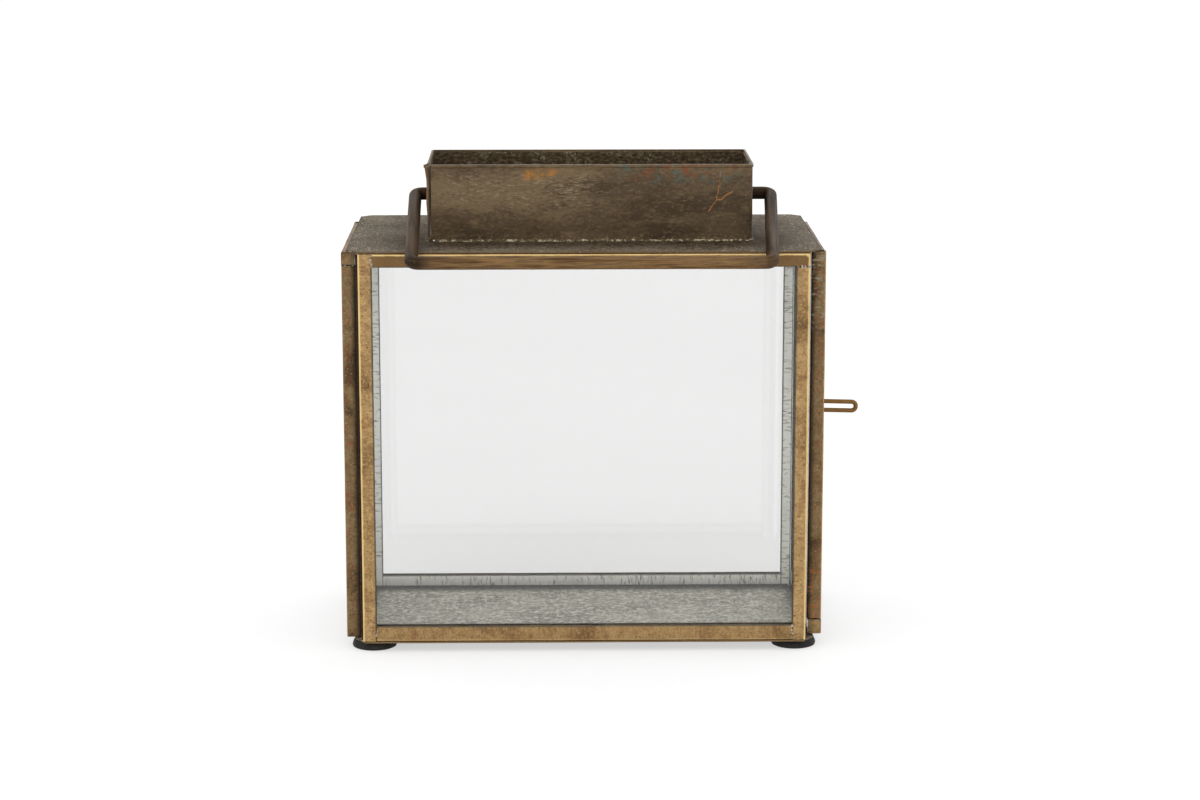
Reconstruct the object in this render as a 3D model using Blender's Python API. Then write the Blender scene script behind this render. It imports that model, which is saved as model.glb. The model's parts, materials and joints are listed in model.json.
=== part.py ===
"""Glazed candle lantern: brass channel frames, a side door, a sheet chimney collar and a bail handle.

Lengths are in metres and +Z is up. The lantern's own coordinates start on the surface that it
stands on, at the middle of its width and at the outer face of its front panel, with +Y to the back.
One empty then shifts the whole lantern so that the middle of its box is over the world's origin.
"""

import math

import bmesh
import bpy
from mathutils import Matrix, Vector

MM = 0.001

# Clearances
TOUCH_GAP = 0.3 * MM  # between two pieces that touch or are soldered together
DOOR_CLEARANCE = 0.8 * MM  # above and below the door

# Body
BODY_WIDTH = 211.0 * MM  # over the left side panel and the door
BODY_HEIGHT = 179.1 * MM  # from the ground to the top of the roof plate
SHEET = 0.8 * MM  # roof, base and floor plates
FOOT_HEIGHT = 3.8 * MM
CORNER_GAP = 1.7 * MM  # open slit between a side panel and the front panel

# Panels: channel bars round a pane. The right-hand side panel is the door.
CHANNEL_DEPTH = 6.3 * MM  # thickness of every panel
STILE_WIDTH = 5.9 * MM
TOP_RAIL_HEIGHT = 5.85 * MM
BOTTOM_RAIL_HEIGHT = 6.7 * MM
CHANNEL_EDGE = 0.7 * MM  # radius of the folded edges
PANE_THICKNESS = 2.9 * MM
PANE_BITE = 2.5 * MM  # how far a pane enters its channels
FRONT_WIDTH = 195.8 * MM
SIDE_LENGTH = 97.6 * MM
REAR_WIDTH = 197.2 * MM
REAR_FRONT_Y = 95.5 * MM
REAR_STILE_WIDTH = 4.4 * MM
REAR_RAIL_HEIGHT = 5.45 * MM

# Plates
ROOF_WIDTH = 206.4 * MM
ROOF_FRONT_Y = 0.3 * MM
ROOF_BACK_Y = 120.1 * MM
BASE_WIDTH = 204.0 * MM
BASE_FRONT_Y = 0.6 * MM
BASE_BACK_Y = 119.0 * MM
FLOOR_WIDTH = 195.2 * MM
FRONT_CHAMFER = (5.0 * MM, 7.2 * MM)  # across and along a plate's front corners
BACK_CHAMFER = (6.5 * MM, 4.5 * MM)

# Chimney collar
CHIMNEY_CENTRE_X = 3.2 * MM
CHIMNEY_WIDTH = 143.3 * MM
CHIMNEY_FRONT_Y = 32.2 * MM
CHIMNEY_BACK_Y = 91.2 * MM
CHIMNEY_HEIGHT = 33.6 * MM
CHIMNEY_SHEET = 0.9 * MM
CHIMNEY_CORNER = 1.6 * MM
CHIMNEY_HEM = 1.5 * MM  # height of the turned hem at the rim
CHIMNEY_HEM_STEP = 0.3 * MM  # how far the hem stands proud
CHIMNEY_SEAM = 0.5 * MM  # open seam at the front left corner
CHIMNEY_FLARE = 1.7 * MM  # how far the seam's edge is sprung outwards at the rim
CHIMNEY_SPRUNG_LENGTH = 9.0 * MM  # how far back from the seam the wall is sprung
CHIMNEY_SPRUNG_STEPS = 3
CHIMNEY_WAVES = 2  # bumps up the sprung edge
CHIMNEY_WAVE_SHARE = 0.25  # of the flare
CHIMNEY_ROWS = 8  # of faces up the wall
CHIMNEY_NOTCH = 1.4 * MM  # clipped corner at the foot of the seam
VENT_LEDGE = 1.0 * MM  # roof left showing inside the collar

# Bail handle
WIRE_RADIUS = 2.85 * MM
BAIL_CENTRE_X = 4.8 * MM  # middle of the two pivots
BAIL_PIVOT_Y = 61.7 * MM
BAIL_PIVOT_Z = 196.6 * MM
BAIL_PIVOT_WIDTH = 160.0 * MM  # between the arms' centre lines at the pivots
BAIL_BAR_WIDTH = 153.8 * MM  # and at the bar
BAIL_BAR_SHIFT = -1.7 * MM  # of the bar's middle from the pivots' middle
BAIL_ARM = 85.0 * MM
BAIL_BEND = 3.3 * MM
BAIL_TONGUE = 4.0 * MM  # how far the wire's ends reach inside the collar

# Door pull and hinge
PULL_WIRE_RADIUS = 1.05 * MM
PULL_HEIGHT = 6.3 * MM  # over both legs
PULL_BEND = 2.05 * MM
PULL_TIP_X = 130.4 * MM
PULL_CENTRE_Z = 90.7 * MM
PULL_DROOP = math.radians(1.5)
HINGE_INSET = (4.5 * MM, 1.9 * MM)  # of the pins' axis from the door's outer face and front end
HINGE_PIN_RADIUS = 0.8 * MM
HINGE_PIN_LENGTH = 11.0 * MM
HINGE_BORE_RADIUS = 1.05 * MM

# Feet
FOOT_RADIUS = 10.1 * MM
FOOT_TOP_RADIUS = 9.3 * MM
FOOT_EDGE = 0.9 * MM
FOOT_X = 93.5 * MM
FOOT_FRONT_Y = 12.5 * MM
FOOT_BACK_Y = 107.5 * MM

# Levels and places that follow from the sizes above
BASE_Z = FOOT_HEIGHT + TOUCH_GAP
PANEL_BOTTOM = BASE_Z + SHEET + TOUCH_GAP
ROOF_Z = BODY_HEIGHT - SHEET
PANEL_TOP = ROOF_Z - TOUCH_GAP
FLOOR_TOP = PANEL_BOTTOM + SHEET
SIDE_OUTER_X = BODY_WIDTH / 2
SIDE_INNER_X = SIDE_OUTER_X - CHANNEL_DEPTH
SIDE_FRONT_Y = CHANNEL_DEPTH + CORNER_GAP
SIDE_BACK_Y = SIDE_FRONT_Y + SIDE_LENGTH
DOOR_BOTTOM = BASE_Z + SHEET + DOOR_CLEARANCE
DOOR_TOP = ROOF_Z - DOOR_CLEARANCE
CHIMNEY_FOOT_Z = BODY_HEIGHT + TOUCH_GAP
HINGE_X = SIDE_OUTER_X - HINGE_INSET[0]
HINGE_Y = SIDE_FRONT_Y + HINGE_INSET[1]
PULL_Y = SIDE_BACK_Y - STILE_WIDTH / 2

# The arms lie on the roof's front edge, a touch gap clear of it.
EDGE_DROP = BAIL_PIVOT_Z - BODY_HEIGHT
EDGE_REACH = BAIL_PIVOT_Y - ROOF_FRONT_Y
BAIL_REST = math.atan2(EDGE_DROP, EDGE_REACH) - math.asin(
    (WIRE_RADIUS + TOUCH_GAP) / math.hypot(EDGE_DROP, EDGE_REACH)
)
BAIL_FRONT_Y = BAIL_PIVOT_Y - BAIL_ARM * math.cos(BAIL_REST) - WIRE_RADIUS

# The lantern's box, which sets the shift to the world's origin
BOX_MIDDLE_X = (PULL_TIP_X - SIDE_OUTER_X) / 2
BOX_MIDDLE_Y = (BAIL_FRONT_Y + ROOF_BACK_Y) / 2

PANEL_FACES = (STILE_WIDTH, TOP_RAIL_HEIGHT, BOTTOM_RAIL_HEIGHT)
ROUND_SEGMENTS = 40
SHARP_ANGLE = math.radians(35)


# ---------------------------------------------------------------- helpers


def clear_scene():
    for old in list(bpy.data.objects):
        bpy.data.objects.remove(old)


def make_material(name, colour, roughness, metallic, alpha=1.0):
    material = bpy.data.materials.new(name)
    material.use_nodes = True
    shader = material.node_tree.nodes["Principled BSDF"]
    shader.inputs["Base Color"].default_value = (*colour, 1.0)
    shader.inputs["Roughness"].default_value = roughness
    shader.inputs["Metallic"].default_value = metallic
    shader.inputs["Alpha"].default_value = alpha
    return material


def make_empty(name, place, parent=None):
    empty = bpy.data.objects.new(name, None)
    bpy.context.collection.objects.link(empty)
    empty.location = place
    empty.parent = parent
    return empty


def add_object(name, data, place, parent, material):
    """Makes an object at a place in the lantern's coordinates, hung on its parent empty."""
    if material and not data.materials:
        data.materials.append(material)
    obj = bpy.data.objects.new(name, data)
    bpy.context.collection.objects.link(obj)
    parent_place = parent.location if parent.parent else Vector()
    obj.parent = parent
    obj.location = Vector(place) - parent_place
    return obj


def mesh_from(bm, name):
    """Turns a bmesh into a mesh with smooth round stretches and crisp folds."""
    bmesh.ops.recalc_face_normals(bm, faces=bm.faces)
    mesh = bpy.data.meshes.new(name)
    bm.to_mesh(mesh)
    bm.free()
    mesh.shade_smooth()
    mesh.set_sharp_from_angle(angle=SHARP_ANGLE)
    return mesh


def box_mesh(name, size, edge=0.0):
    """A box round its own origin, with its edges rounded where an edge radius is given."""
    bm = bmesh.new()
    bmesh.ops.create_cube(bm, size=1.0, matrix=Matrix.Diagonal((*size, 1.0)))
    if edge:
        bmesh.ops.bevel(
            bm,
            geom=bm.edges,
            offset=edge,
            offset_type="OFFSET",
            affect="EDGES",
            segments=2,
            profile=0.5,
            material=-1,
        )
    return mesh_from(bm, name)


def add_box(name, low, high, parent, material, edge=0.0):
    """A box between two corners given in the lantern's coordinates."""
    low = Vector(low)
    high = Vector(high)
    return add_object(name, box_mesh(name, high - low, edge), (low + high) / 2, parent, material)


def as_cutter(obj):
    obj.hide_render = True
    obj.display_type = "WIRE"
    return obj


def cut(obj, cutter):
    modifier = obj.modifiers.new("Cut", "BOOLEAN")
    modifier.operation = "DIFFERENCE"
    modifier.object = cutter


def add_cylinder(name, radius, length, matrix, place, parent, material, segments=ROUND_SEGMENTS):
    bm = bmesh.new()
    bmesh.ops.create_cone(
        bm,
        cap_ends=True,
        segments=segments,
        radius1=radius,
        radius2=radius,
        depth=length,
        matrix=matrix,
    )
    return add_object(name, mesh_from(bm, name), place, parent, material)


def rounded_path(corners, radius, steps=6):
    """The points of a path through corners in one plane, each inner corner turned as an arc."""
    points = [Vector(corners[0])]
    for before, corner, after in zip(corners, corners[1:], corners[2:]):
        corner = Vector(corner)
        towards_start = (Vector(before) - corner).normalized()
        towards_end = (Vector(after) - corner).normalized()
        half_angle = towards_start.angle(towards_end) / 2
        middle = (towards_start + towards_end).normalized()
        centre = corner + middle * (radius / math.sin(half_angle))
        arc_start = corner + towards_start * (radius / math.tan(half_angle))
        axis = (arc_start - centre).cross(-middle)
        turn = math.pi - 2 * half_angle
        for step in range(steps + 1):
            spin = Matrix.Rotation(turn * step / steps, 3, axis)
            points.append(centre + spin @ (arc_start - centre))
    points.append(Vector(corners[-1]))
    return points


def wire_curve(name, points, radius, resolution):
    """A round wire along the points, closed at both ends."""
    curve = bpy.data.curves.new(name, "CURVE")
    curve.dimensions = "3D"
    curve.bevel_depth = radius
    curve.bevel_resolution = resolution
    curve.use_fill_caps = True
    spline = curve.splines.new("POLY")
    spline.points.add(len(points) - 1)
    for spline_point, point in zip(spline.points, points):
        spline_point.co = (*point, 1.0)
    return curve


# ---------------------------------------------------------------- plates and floor


def plate_mesh(name, width, front_y, back_y):
    """A sheet with its four corners cut off, its lower face at its own z = 0."""
    side = width / 2
    half = [
        (side - FRONT_CHAMFER[0], front_y),
        (side, front_y + FRONT_CHAMFER[1]),
        (side, back_y - BACK_CHAMFER[1]),
        (side - BACK_CHAMFER[0], back_y),
    ]
    outline = half + [(-x, y) for x, y in reversed(half)]
    bm = bmesh.new()
    face = bm.faces.new([bm.verts.new((x, y, 0.0)) for x, y in outline])
    raised = bmesh.ops.extrude_face_region(bm, geom=[face])
    top = [item for item in raised["geom"] if isinstance(item, bmesh.types.BMVert)]
    bmesh.ops.translate(bm, verts=top, vec=(0.0, 0.0, SHEET))
    return mesh_from(bm, name)


def make_plates(case, brass, patina, zinc):
    """The base plate, the zinc floor on it, and the roof plate with its vent."""
    base = plate_mesh("base_plate", BASE_WIDTH, BASE_FRONT_Y, BASE_BACK_Y)
    add_object("base_plate", base, (0.0, 0.0, BASE_Z), case, brass)

    add_box(
        "floor_tray",
        (-FLOOR_WIDTH / 2, CHANNEL_DEPTH + TOUCH_GAP, PANEL_BOTTOM),
        (FLOOR_WIDTH / 2, REAR_FRONT_Y - TOUCH_GAP, FLOOR_TOP),
        case,
        zinc,
    )

    roof_mesh = plate_mesh("roof_plate", ROOF_WIDTH, ROOF_FRONT_Y, ROOF_BACK_Y)
    roof = add_object("roof_plate", roof_mesh, (0.0, 0.0, ROOF_Z), case, patina)
    margin = CHIMNEY_SHEET + VENT_LEDGE
    half_vent = CHIMNEY_WIDTH / 2 - margin
    vent = add_box(
        "vent_cutter",
        (CHIMNEY_CENTRE_X - half_vent, CHIMNEY_FRONT_Y + margin, ROOF_Z - SHEET),
        (CHIMNEY_CENTRE_X + half_vent, CHIMNEY_BACK_Y - margin, BODY_HEIGHT + SHEET),
        case,
        None,
    )
    cut(roof, as_cutter(vent))


# ---------------------------------------------------------------- glazed panels


def make_panel(name, low, high, across, capped, parent, frame_material, glass, faces=PANEL_FACES):
    """Four grooved channel bars round a pane.

    across is the horizontal direction that the panel spans, 0 for X and 1 for Y. capped names the
    corners where the rail runs over the end of the stile; at the others the stile runs past it.
    The stiles are named by their places, the first one on the low side. faces gives how wide the
    bars' faces are: the stiles', the top rail's and the bottom rail's.
    """
    stile_width, top_height, bottom_height = faces
    low = Vector(low)
    high = Vector(high)
    through = 1 - across
    middle = (low[through] + high[through]) / 2

    pane_low = low.copy()
    pane_high = high.copy()
    pane_low[across] += stile_width - PANE_BITE
    pane_high[across] -= stile_width - PANE_BITE
    pane_low.z += bottom_height - PANE_BITE
    pane_high.z -= top_height - PANE_BITE
    pane_low[through] = middle - PANE_THICKNESS / 2
    pane_high[through] = middle + PANE_THICKNESS / 2
    add_box(name + "_glass", pane_low, pane_high, parent, glass)

    slack = Vector((TOUCH_GAP,) * 3)
    groove = add_box(name + "_groove_cutter", pane_low - slack, pane_high + slack, parent, None)
    as_cutter(groove)

    bars = {}
    stile_names = ("left", "right") if across == 0 else ("front", "rear")
    for side, stile_name in enumerate(stile_names):
        bar_low = low.copy()
        bar_high = high.copy()
        if side == 0:
            bar_high[across] = low[across] + stile_width
        else:
            bar_low[across] = high[across] - stile_width
        if (stile_name, "top") in capped:
            bar_high.z -= top_height + TOUCH_GAP
        if (stile_name, "bottom") in capped:
            bar_low.z += bottom_height + TOUCH_GAP
        bars["stile_" + stile_name] = (bar_low, bar_high)
    for level, height in (("top", top_height), ("bottom", bottom_height)):
        bar_low = low.copy()
        bar_high = high.copy()
        if level == "top":
            bar_low.z = high.z - height
        else:
            bar_high.z = low.z + height
        if (stile_names[0], level) not in capped:
            bar_low[across] += stile_width + TOUCH_GAP
        if (stile_names[1], level) not in capped:
            bar_high[across] -= stile_width + TOUCH_GAP
        bars["rail_" + level] = (bar_low, bar_high)

    made = {}
    for bar_name, (bar_low, bar_high) in bars.items():
        bar = add_box(
            f"{name}_{bar_name}", bar_low, bar_high, parent, frame_material, CHANNEL_EDGE
        )
        cut(bar, groove)
        made[bar_name] = bar
    return made


def make_fixed_panels(case, brass, glass):
    """The front, left side and rear panels, soldered between the plates."""
    make_panel(
        "front",
        (-FRONT_WIDTH / 2, 0.0, PANEL_BOTTOM),
        (FRONT_WIDTH / 2, CHANNEL_DEPTH, PANEL_TOP),
        0,
        {("right", "top")},
        case,
        brass,
        glass,
    )
    make_panel(
        "left_side",
        (-SIDE_OUTER_X, SIDE_FRONT_Y, PANEL_BOTTOM),
        (-SIDE_INNER_X, SIDE_BACK_Y, PANEL_TOP),
        1,
        {("front", "top"), ("rear", "bottom")},
        case,
        brass,
        glass,
    )
    make_panel(
        "rear",
        (-REAR_WIDTH / 2, REAR_FRONT_Y, PANEL_BOTTOM),
        (REAR_WIDTH / 2, REAR_FRONT_Y + CHANNEL_DEPTH, PANEL_TOP),
        0,
        set(),
        case,
        brass,
        glass,
        (REAR_STILE_WIDTH, REAR_RAIL_HEIGHT, REAR_RAIL_HEIGHT),
    )


# ---------------------------------------------------------------- door


def make_door(door, brass, glass, copper):
    """The glazed door in the right-hand side, with its wire pull."""
    bars = make_panel(
        "door",
        (SIDE_INNER_X, SIDE_FRONT_Y, DOOR_BOTTOM),
        (SIDE_OUTER_X, SIDE_BACK_Y, DOOR_TOP),
        1,
        {("front", "bottom"), ("rear", "top")},
        door,
        brass,
        glass,
    )
    for end_z, bored in ((DOOR_BOTTOM, ("rail_bottom", "stile_front")), (DOOR_TOP, ("stile_front",))):
        bore = add_cylinder(
            "door_bore_cutter",
            HINGE_BORE_RADIUS,
            2 * (HINGE_PIN_LENGTH + TOUCH_GAP),
            Matrix.Identity(4),
            (HINGE_X, HINGE_Y, end_z),
            door,
            None,
            16,
        )
        for bar_name in bored:
            cut(bars[bar_name], as_cutter(bore))

    start = SIDE_OUTER_X + TOUCH_GAP
    leg = PULL_HEIGHT / 2 - PULL_WIRE_RADIUS
    length = PULL_TIP_X - PULL_WIRE_RADIUS - start
    corners = [(0.0, 0.0, leg), (length, 0.0, leg), (length, 0.0, -leg), (0.0, 0.0, -leg)]
    points = rounded_path(corners, PULL_BEND, 8)
    curve = wire_curve("door_pull", points, PULL_WIRE_RADIUS, 3)
    pull = add_object("door_pull", curve, (start, PULL_Y, PULL_CENTRE_Z), door, copper)
    pull.rotation_euler.y = PULL_DROOP


def make_hinge_pins(case, copper):
    """Two pins, one standing on the base plate and one under the roof, that the door turns on."""
    bottom = BASE_Z + SHEET + TOUCH_GAP
    top = ROOF_Z - TOUCH_GAP
    for name, low, high in (
        ("hinge_pin_bottom", bottom, bottom + HINGE_PIN_LENGTH),
        ("hinge_pin_top", top - HINGE_PIN_LENGTH, top),
    ):
        add_cylinder(
            name,
            HINGE_PIN_RADIUS,
            high - low,
            Matrix.Identity(4),
            (HINGE_X, HINGE_Y, (low + high) / 2),
            case,
            copper,
            16,
        )


# ---------------------------------------------------------------- chimney collar


def collar_outline(outset):
    """The collar's outline from the seam round to the seam, from above, moved out by outset.

    It starts at the left end of the front wall and runs to the right, round the back and forward
    along the left wall, whose free edge closes the front left corner.
    """
    left = CHIMNEY_CENTRE_X - CHIMNEY_WIDTH / 2 - outset
    right = CHIMNEY_CENTRE_X + CHIMNEY_WIDTH / 2 + outset
    front = CHIMNEY_FRONT_Y - outset
    back = CHIMNEY_BACK_Y + outset
    corners = [
        (left + CHIMNEY_SHEET + CHIMNEY_SEAM, front, 0.0),
        (right, front, 0.0),
        (right, back, 0.0),
        (left, back, 0.0),
        (left, front, 0.0),
    ]
    return rounded_path(corners, CHIMNEY_CORNER + outset, 3)


def sprung_edge(point, height):
    """Moves a point of the left wall outwards near its free front edge, most at the rim."""
    back = (point.y - CHIMNEY_FRONT_Y) / CHIMNEY_SPRUNG_LENGTH
    left_wall = point.x < CHIMNEY_CENTRE_X - CHIMNEY_WIDTH / 2 + CHIMNEY_SHEET / 2
    if not left_wall or back > 1.0:
        return
    rise = height / CHIMNEY_HEIGHT
    wave = math.cos(rise * CHIMNEY_WAVES * 2 * math.pi) - 1.0
    flare = CHIMNEY_FLARE * (1.0 + CHIMNEY_WAVE_SHARE * wave)
    point.x -= flare * (1.0 - max(back, 0.0)) ** 2 * rise


def collar_mesh():
    """The sheet wall of the collar, as one face thick; a Solidify modifier gives it its gauge."""
    hem_foot = CHIMNEY_HEIGHT - CHIMNEY_HEM
    rows = [(hem_foot * step / CHIMNEY_ROWS, 0.0) for step in range(CHIMNEY_ROWS + 1)]
    rows.insert(1, (CHIMNEY_NOTCH, 0.0))
    rows.append((hem_foot + CHIMNEY_HEM_STEP, CHIMNEY_HEM_STEP))
    rows.append((CHIMNEY_HEIGHT, CHIMNEY_HEM_STEP))

    bm = bmesh.new()
    below = []
    for height, outset in rows:
        row = []
        for point in collar_outline(outset):
            if height == 0.0 and not row:
                point.x += CHIMNEY_NOTCH
            row.append(point)
        free_end = row.pop()
        for step in range(CHIMNEY_SPRUNG_STEPS, -1, -1):
            back = CHIMNEY_SPRUNG_LENGTH * step / CHIMNEY_SPRUNG_STEPS
            row.append(free_end + Vector((0.0, back, 0.0)))
        for point in row:
            sprung_edge(point, height)
        verts = [bm.verts.new((point.x, point.y, height)) for point in row]
        for index in range(len(below) - 1):
            quad = (below[index], below[index + 1], verts[index + 1], verts[index])
            bm.faces.new(quad)
        below = verts
    mesh = bpy.data.meshes.new("chimney_collar")
    bm.to_mesh(mesh)
    bm.free()
    mesh.shade_smooth()
    mesh.set_sharp_from_angle(angle=SHARP_ANGLE)
    return mesh


def make_chimney(case, patina):
    """The open collar on the roof, with a hole in each end wall for the bail."""
    place = (0.0, 0.0, CHIMNEY_FOOT_Z)
    collar = add_object("chimney_collar", collar_mesh(), place, case, patina)
    gauge = collar.modifiers.new("Gauge", "SOLIDIFY")
    gauge.thickness = CHIMNEY_SHEET
    gauge.offset = -1.0
    holes = add_cylinder(
        "bail_hole_cutter",
        WIRE_RADIUS + TOUCH_GAP,
        CHIMNEY_WIDTH + 2 * WIRE_RADIUS,
        Matrix.Rotation(math.pi / 2, 4, "Y"),
        (CHIMNEY_CENTRE_X, BAIL_PIVOT_Y, BAIL_PIVOT_Z),
        case,
        None,
        24,
    )
    cut(collar, as_cutter(holes))


# ---------------------------------------------------------------- bail handle


def make_bail(bail, patina):
    """One bent wire: two tongues in the collar's end walls, two arms and the bar between them."""
    tongue_left = CHIMNEY_CENTRE_X - CHIMNEY_WIDTH / 2 + CHIMNEY_SHEET + BAIL_TONGUE
    tongue_right = CHIMNEY_CENTRE_X + CHIMNEY_WIDTH / 2 - CHIMNEY_SHEET - BAIL_TONGUE
    corners = [
        (tongue_left - BAIL_CENTRE_X, 0.0, 0.0),
        (-BAIL_PIVOT_WIDTH / 2, 0.0, 0.0),
        (BAIL_BAR_SHIFT - BAIL_BAR_WIDTH / 2, -BAIL_ARM, 0.0),
        (BAIL_BAR_SHIFT + BAIL_BAR_WIDTH / 2, -BAIL_ARM, 0.0),
        (BAIL_PIVOT_WIDTH / 2, 0.0, 0.0),
        (tongue_right - BAIL_CENTRE_X, 0.0, 0.0),
    ]
    curve = wire_curve("bail_handle", rounded_path(corners, BAIL_BEND), WIRE_RADIUS, 5)
    add_object("bail_handle", curve, (BAIL_CENTRE_X, BAIL_PIVOT_Y, BAIL_PIVOT_Z), bail, patina)


# ---------------------------------------------------------------- feet


def foot_mesh():
    """A round rubber pad, a little wider at the ground, with soft edges."""
    bm = bmesh.new()
    bmesh.ops.create_cone(
        bm,
        cap_ends=True,
        segments=ROUND_SEGMENTS,
        radius1=FOOT_RADIUS,
        radius2=FOOT_TOP_RADIUS,
        depth=FOOT_HEIGHT,
    )
    rims = [edge for edge in bm.edges if abs(edge.verts[0].co.z - edge.verts[1].co.z) < MM / 10]
    bmesh.ops.bevel(
        bm,
        geom=rims,
        offset=FOOT_EDGE,
        offset_type="OFFSET",
        affect="EDGES",
        segments=2,
        profile=0.5,
        material=-1,
    )
    return mesh_from(bm, "foot")


def make_feet(case, rubber):
    mesh = foot_mesh()
    for name, x, y in (
        ("foot_front_left", -FOOT_X, FOOT_FRONT_Y),
        ("foot_front_right", FOOT_X, FOOT_FRONT_Y),
        ("foot_rear_left", -FOOT_X, FOOT_BACK_Y),
        ("foot_rear_right", FOOT_X, FOOT_BACK_Y),
    ):
        add_object(name, mesh, (x, y, FOOT_HEIGHT / 2), case, rubber)


# ---------------------------------------------------------------- lantern


def main():
    clear_scene()
    brass = make_material("aged_brass", (0.42, 0.28, 0.13), 0.42, 1.0)
    patina = make_material("dark_patina", (0.14, 0.11, 0.08), 0.55, 1.0)
    zinc = make_material("galvanised_zinc", (0.42, 0.43, 0.41), 0.45, 1.0)
    copper = make_material("copper_wire", (0.45, 0.24, 0.11), 0.35, 1.0)
    glass = make_material("clear_glass", (0.9, 0.95, 0.95), 0.03, 0.0, 0.2)
    rubber = make_material("black_rubber", (0.02, 0.02, 0.02), 0.8, 0.0)

    case = make_empty("lantern", (-BOX_MIDDLE_X, -BOX_MIDDLE_Y, 0.0))
    door = make_empty("door_axis", (HINGE_X, HINGE_Y, 0.0), case)
    bail = make_empty("bail_axis", (BAIL_CENTRE_X, BAIL_PIVOT_Y, BAIL_PIVOT_Z), case)
    bail.rotation_euler.x = BAIL_REST

    make_plates(case, brass, patina, zinc)
    make_fixed_panels(case, brass, glass)
    make_door(door, brass, glass, copper)
    make_hinge_pins(case, copper)
    make_chimney(case, patina)
    make_bail(bail, patina)
    make_feet(case, rubber)


main()
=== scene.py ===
"""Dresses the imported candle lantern: folded channel frames, glass, patina, solder, floor and light."""

import json
import math

import bmesh
import bpy
from bpy.props import FloatProperty, FloatVectorProperty, PointerProperty
from mathutils import Matrix, Vector, noise


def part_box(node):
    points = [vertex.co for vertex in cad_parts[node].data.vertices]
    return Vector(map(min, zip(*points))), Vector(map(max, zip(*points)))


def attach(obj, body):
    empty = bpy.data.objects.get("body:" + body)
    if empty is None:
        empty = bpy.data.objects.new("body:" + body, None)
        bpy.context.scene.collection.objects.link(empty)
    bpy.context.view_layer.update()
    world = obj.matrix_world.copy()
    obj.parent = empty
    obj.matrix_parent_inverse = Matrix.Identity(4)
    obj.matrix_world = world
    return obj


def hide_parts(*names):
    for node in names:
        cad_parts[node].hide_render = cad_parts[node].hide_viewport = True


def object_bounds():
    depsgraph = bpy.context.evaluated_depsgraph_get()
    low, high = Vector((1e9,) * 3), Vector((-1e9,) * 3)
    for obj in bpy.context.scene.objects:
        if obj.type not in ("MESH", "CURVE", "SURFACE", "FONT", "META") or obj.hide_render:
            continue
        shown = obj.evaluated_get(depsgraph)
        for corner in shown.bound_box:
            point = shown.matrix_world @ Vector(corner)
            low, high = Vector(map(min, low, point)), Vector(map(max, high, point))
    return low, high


bl_info = {
    "name": "Candle Lantern Dresser",
    "version": (1, 0, 0),
    "blender": (4, 5, 0),
    "location": "View3D > Sidebar > Lantern",
    "description": "Builds the visible pieces of a brass and glass candle lantern on its fixed frame",
    "category": "Object",
}

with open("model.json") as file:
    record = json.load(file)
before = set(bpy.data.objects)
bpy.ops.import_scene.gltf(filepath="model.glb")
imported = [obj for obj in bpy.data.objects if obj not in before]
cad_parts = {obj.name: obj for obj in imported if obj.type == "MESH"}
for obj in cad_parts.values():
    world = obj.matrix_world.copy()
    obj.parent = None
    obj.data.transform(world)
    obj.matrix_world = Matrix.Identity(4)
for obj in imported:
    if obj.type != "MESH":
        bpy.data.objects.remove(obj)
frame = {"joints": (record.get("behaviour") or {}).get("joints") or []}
CAD_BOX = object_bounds()

MM = 0.001

# The panels: name, body, the axis across the pane, which way the outer face looks, and the closed rail ends.
PANELS = (
    ("front", "case", 0, -1, (("rail_top", "high"),)),
    ("left_side", "case", 1, -1, (("rail_top", "low"), ("rail_bottom", "high"))),
    ("rear", "case", 0, 1, ()),
    ("door", "door", 1, 1, (("rail_bottom", "low"), ("rail_top", "high"))),
)
STILES = {0: ("stile_left", "stile_right"), 1: ("stile_front", "stile_rear")}

# How far each bar's outer fold is rubbed bright, and how much painted shade darkens its face.
WEAR_AND_PAINTED_SHADE = {
    "front_stile_left": (1.0, 0.0),
    "front_stile_right": (1.0, 0.0),
    "front_rail_top": (1.0, 0.8),
    "front_rail_bottom": (0.25, 0.35),
    "door_stile_front": (1.0, 0.15),
    "left_side_stile_front": (0.3, 0.0),
    "door_rail_top": (0.1, 0.8),
    "left_side_rail_top": (0.1, 0.1),
}

SHEET = 0.7 * MM  # of the folded channels
LIP = 1.3 * MM  # the channel's edges turned in towards the pane
FOLD_RADIUS = 0.55 * MM
BUTT_CLOSE = 0.2 * MM  # how far a rail reaches over the gap to its stile
PANE_ARRIS = 0.25 * MM

PLATE_CHAMFER_FRONT = (5.0 * MM, 7.2 * MM)
PLATE_CHAMFER_BACK = (4.6 * MM, 4.5 * MM)
VENT_LEDGE = 1.9 * MM

COLLAR_WIDTH = 143.3 * MM
COLLAR_SHEET = 0.9 * MM
COLLAR_CORNER = 1.7 * MM
COLLAR_SEAM = 0.5 * MM
COLLAR_NOTCH = 1.4 * MM
COLLAR_HEM = 1.5 * MM
COLLAR_HEM_STEP = 0.3 * MM
COLLAR_FLARE = 1.5 * MM
COLLAR_FLARE_LENGTH = 9.0 * MM

SEAM_DEPTH = 2.2 * MM

FLOOR_LENGTH = 88.6  # millimetres, from the tray's front edge to its rear edge

WIRE_RADIUS = 2.85 * MM
BAIL_PIVOT_WIDTH = 160.0 * MM
BAIL_BAR_WIDTH = 153.8 * MM
BAIL_BAR_SHIFT = -1.7 * MM
BAIL_ARM = 85.0 * MM
BAIL_BEND = 3.3 * MM
BAIL_TONGUE = 4.0 * MM
BAIL_REST = math.radians(13.08)

PULL_WIRE_RADIUS = 1.05 * MM
PULL_HEIGHT = 6.3 * MM
PULL_BEND = 2.05 * MM
PULL_DROOP = math.radians(1.5)

BAIL_SIDES = 28
PULL_SIDES = 20
BEND_STEPS = 9
PLATE_GRID = (48, 28)
FOOT_SEGMENTS = 48

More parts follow.
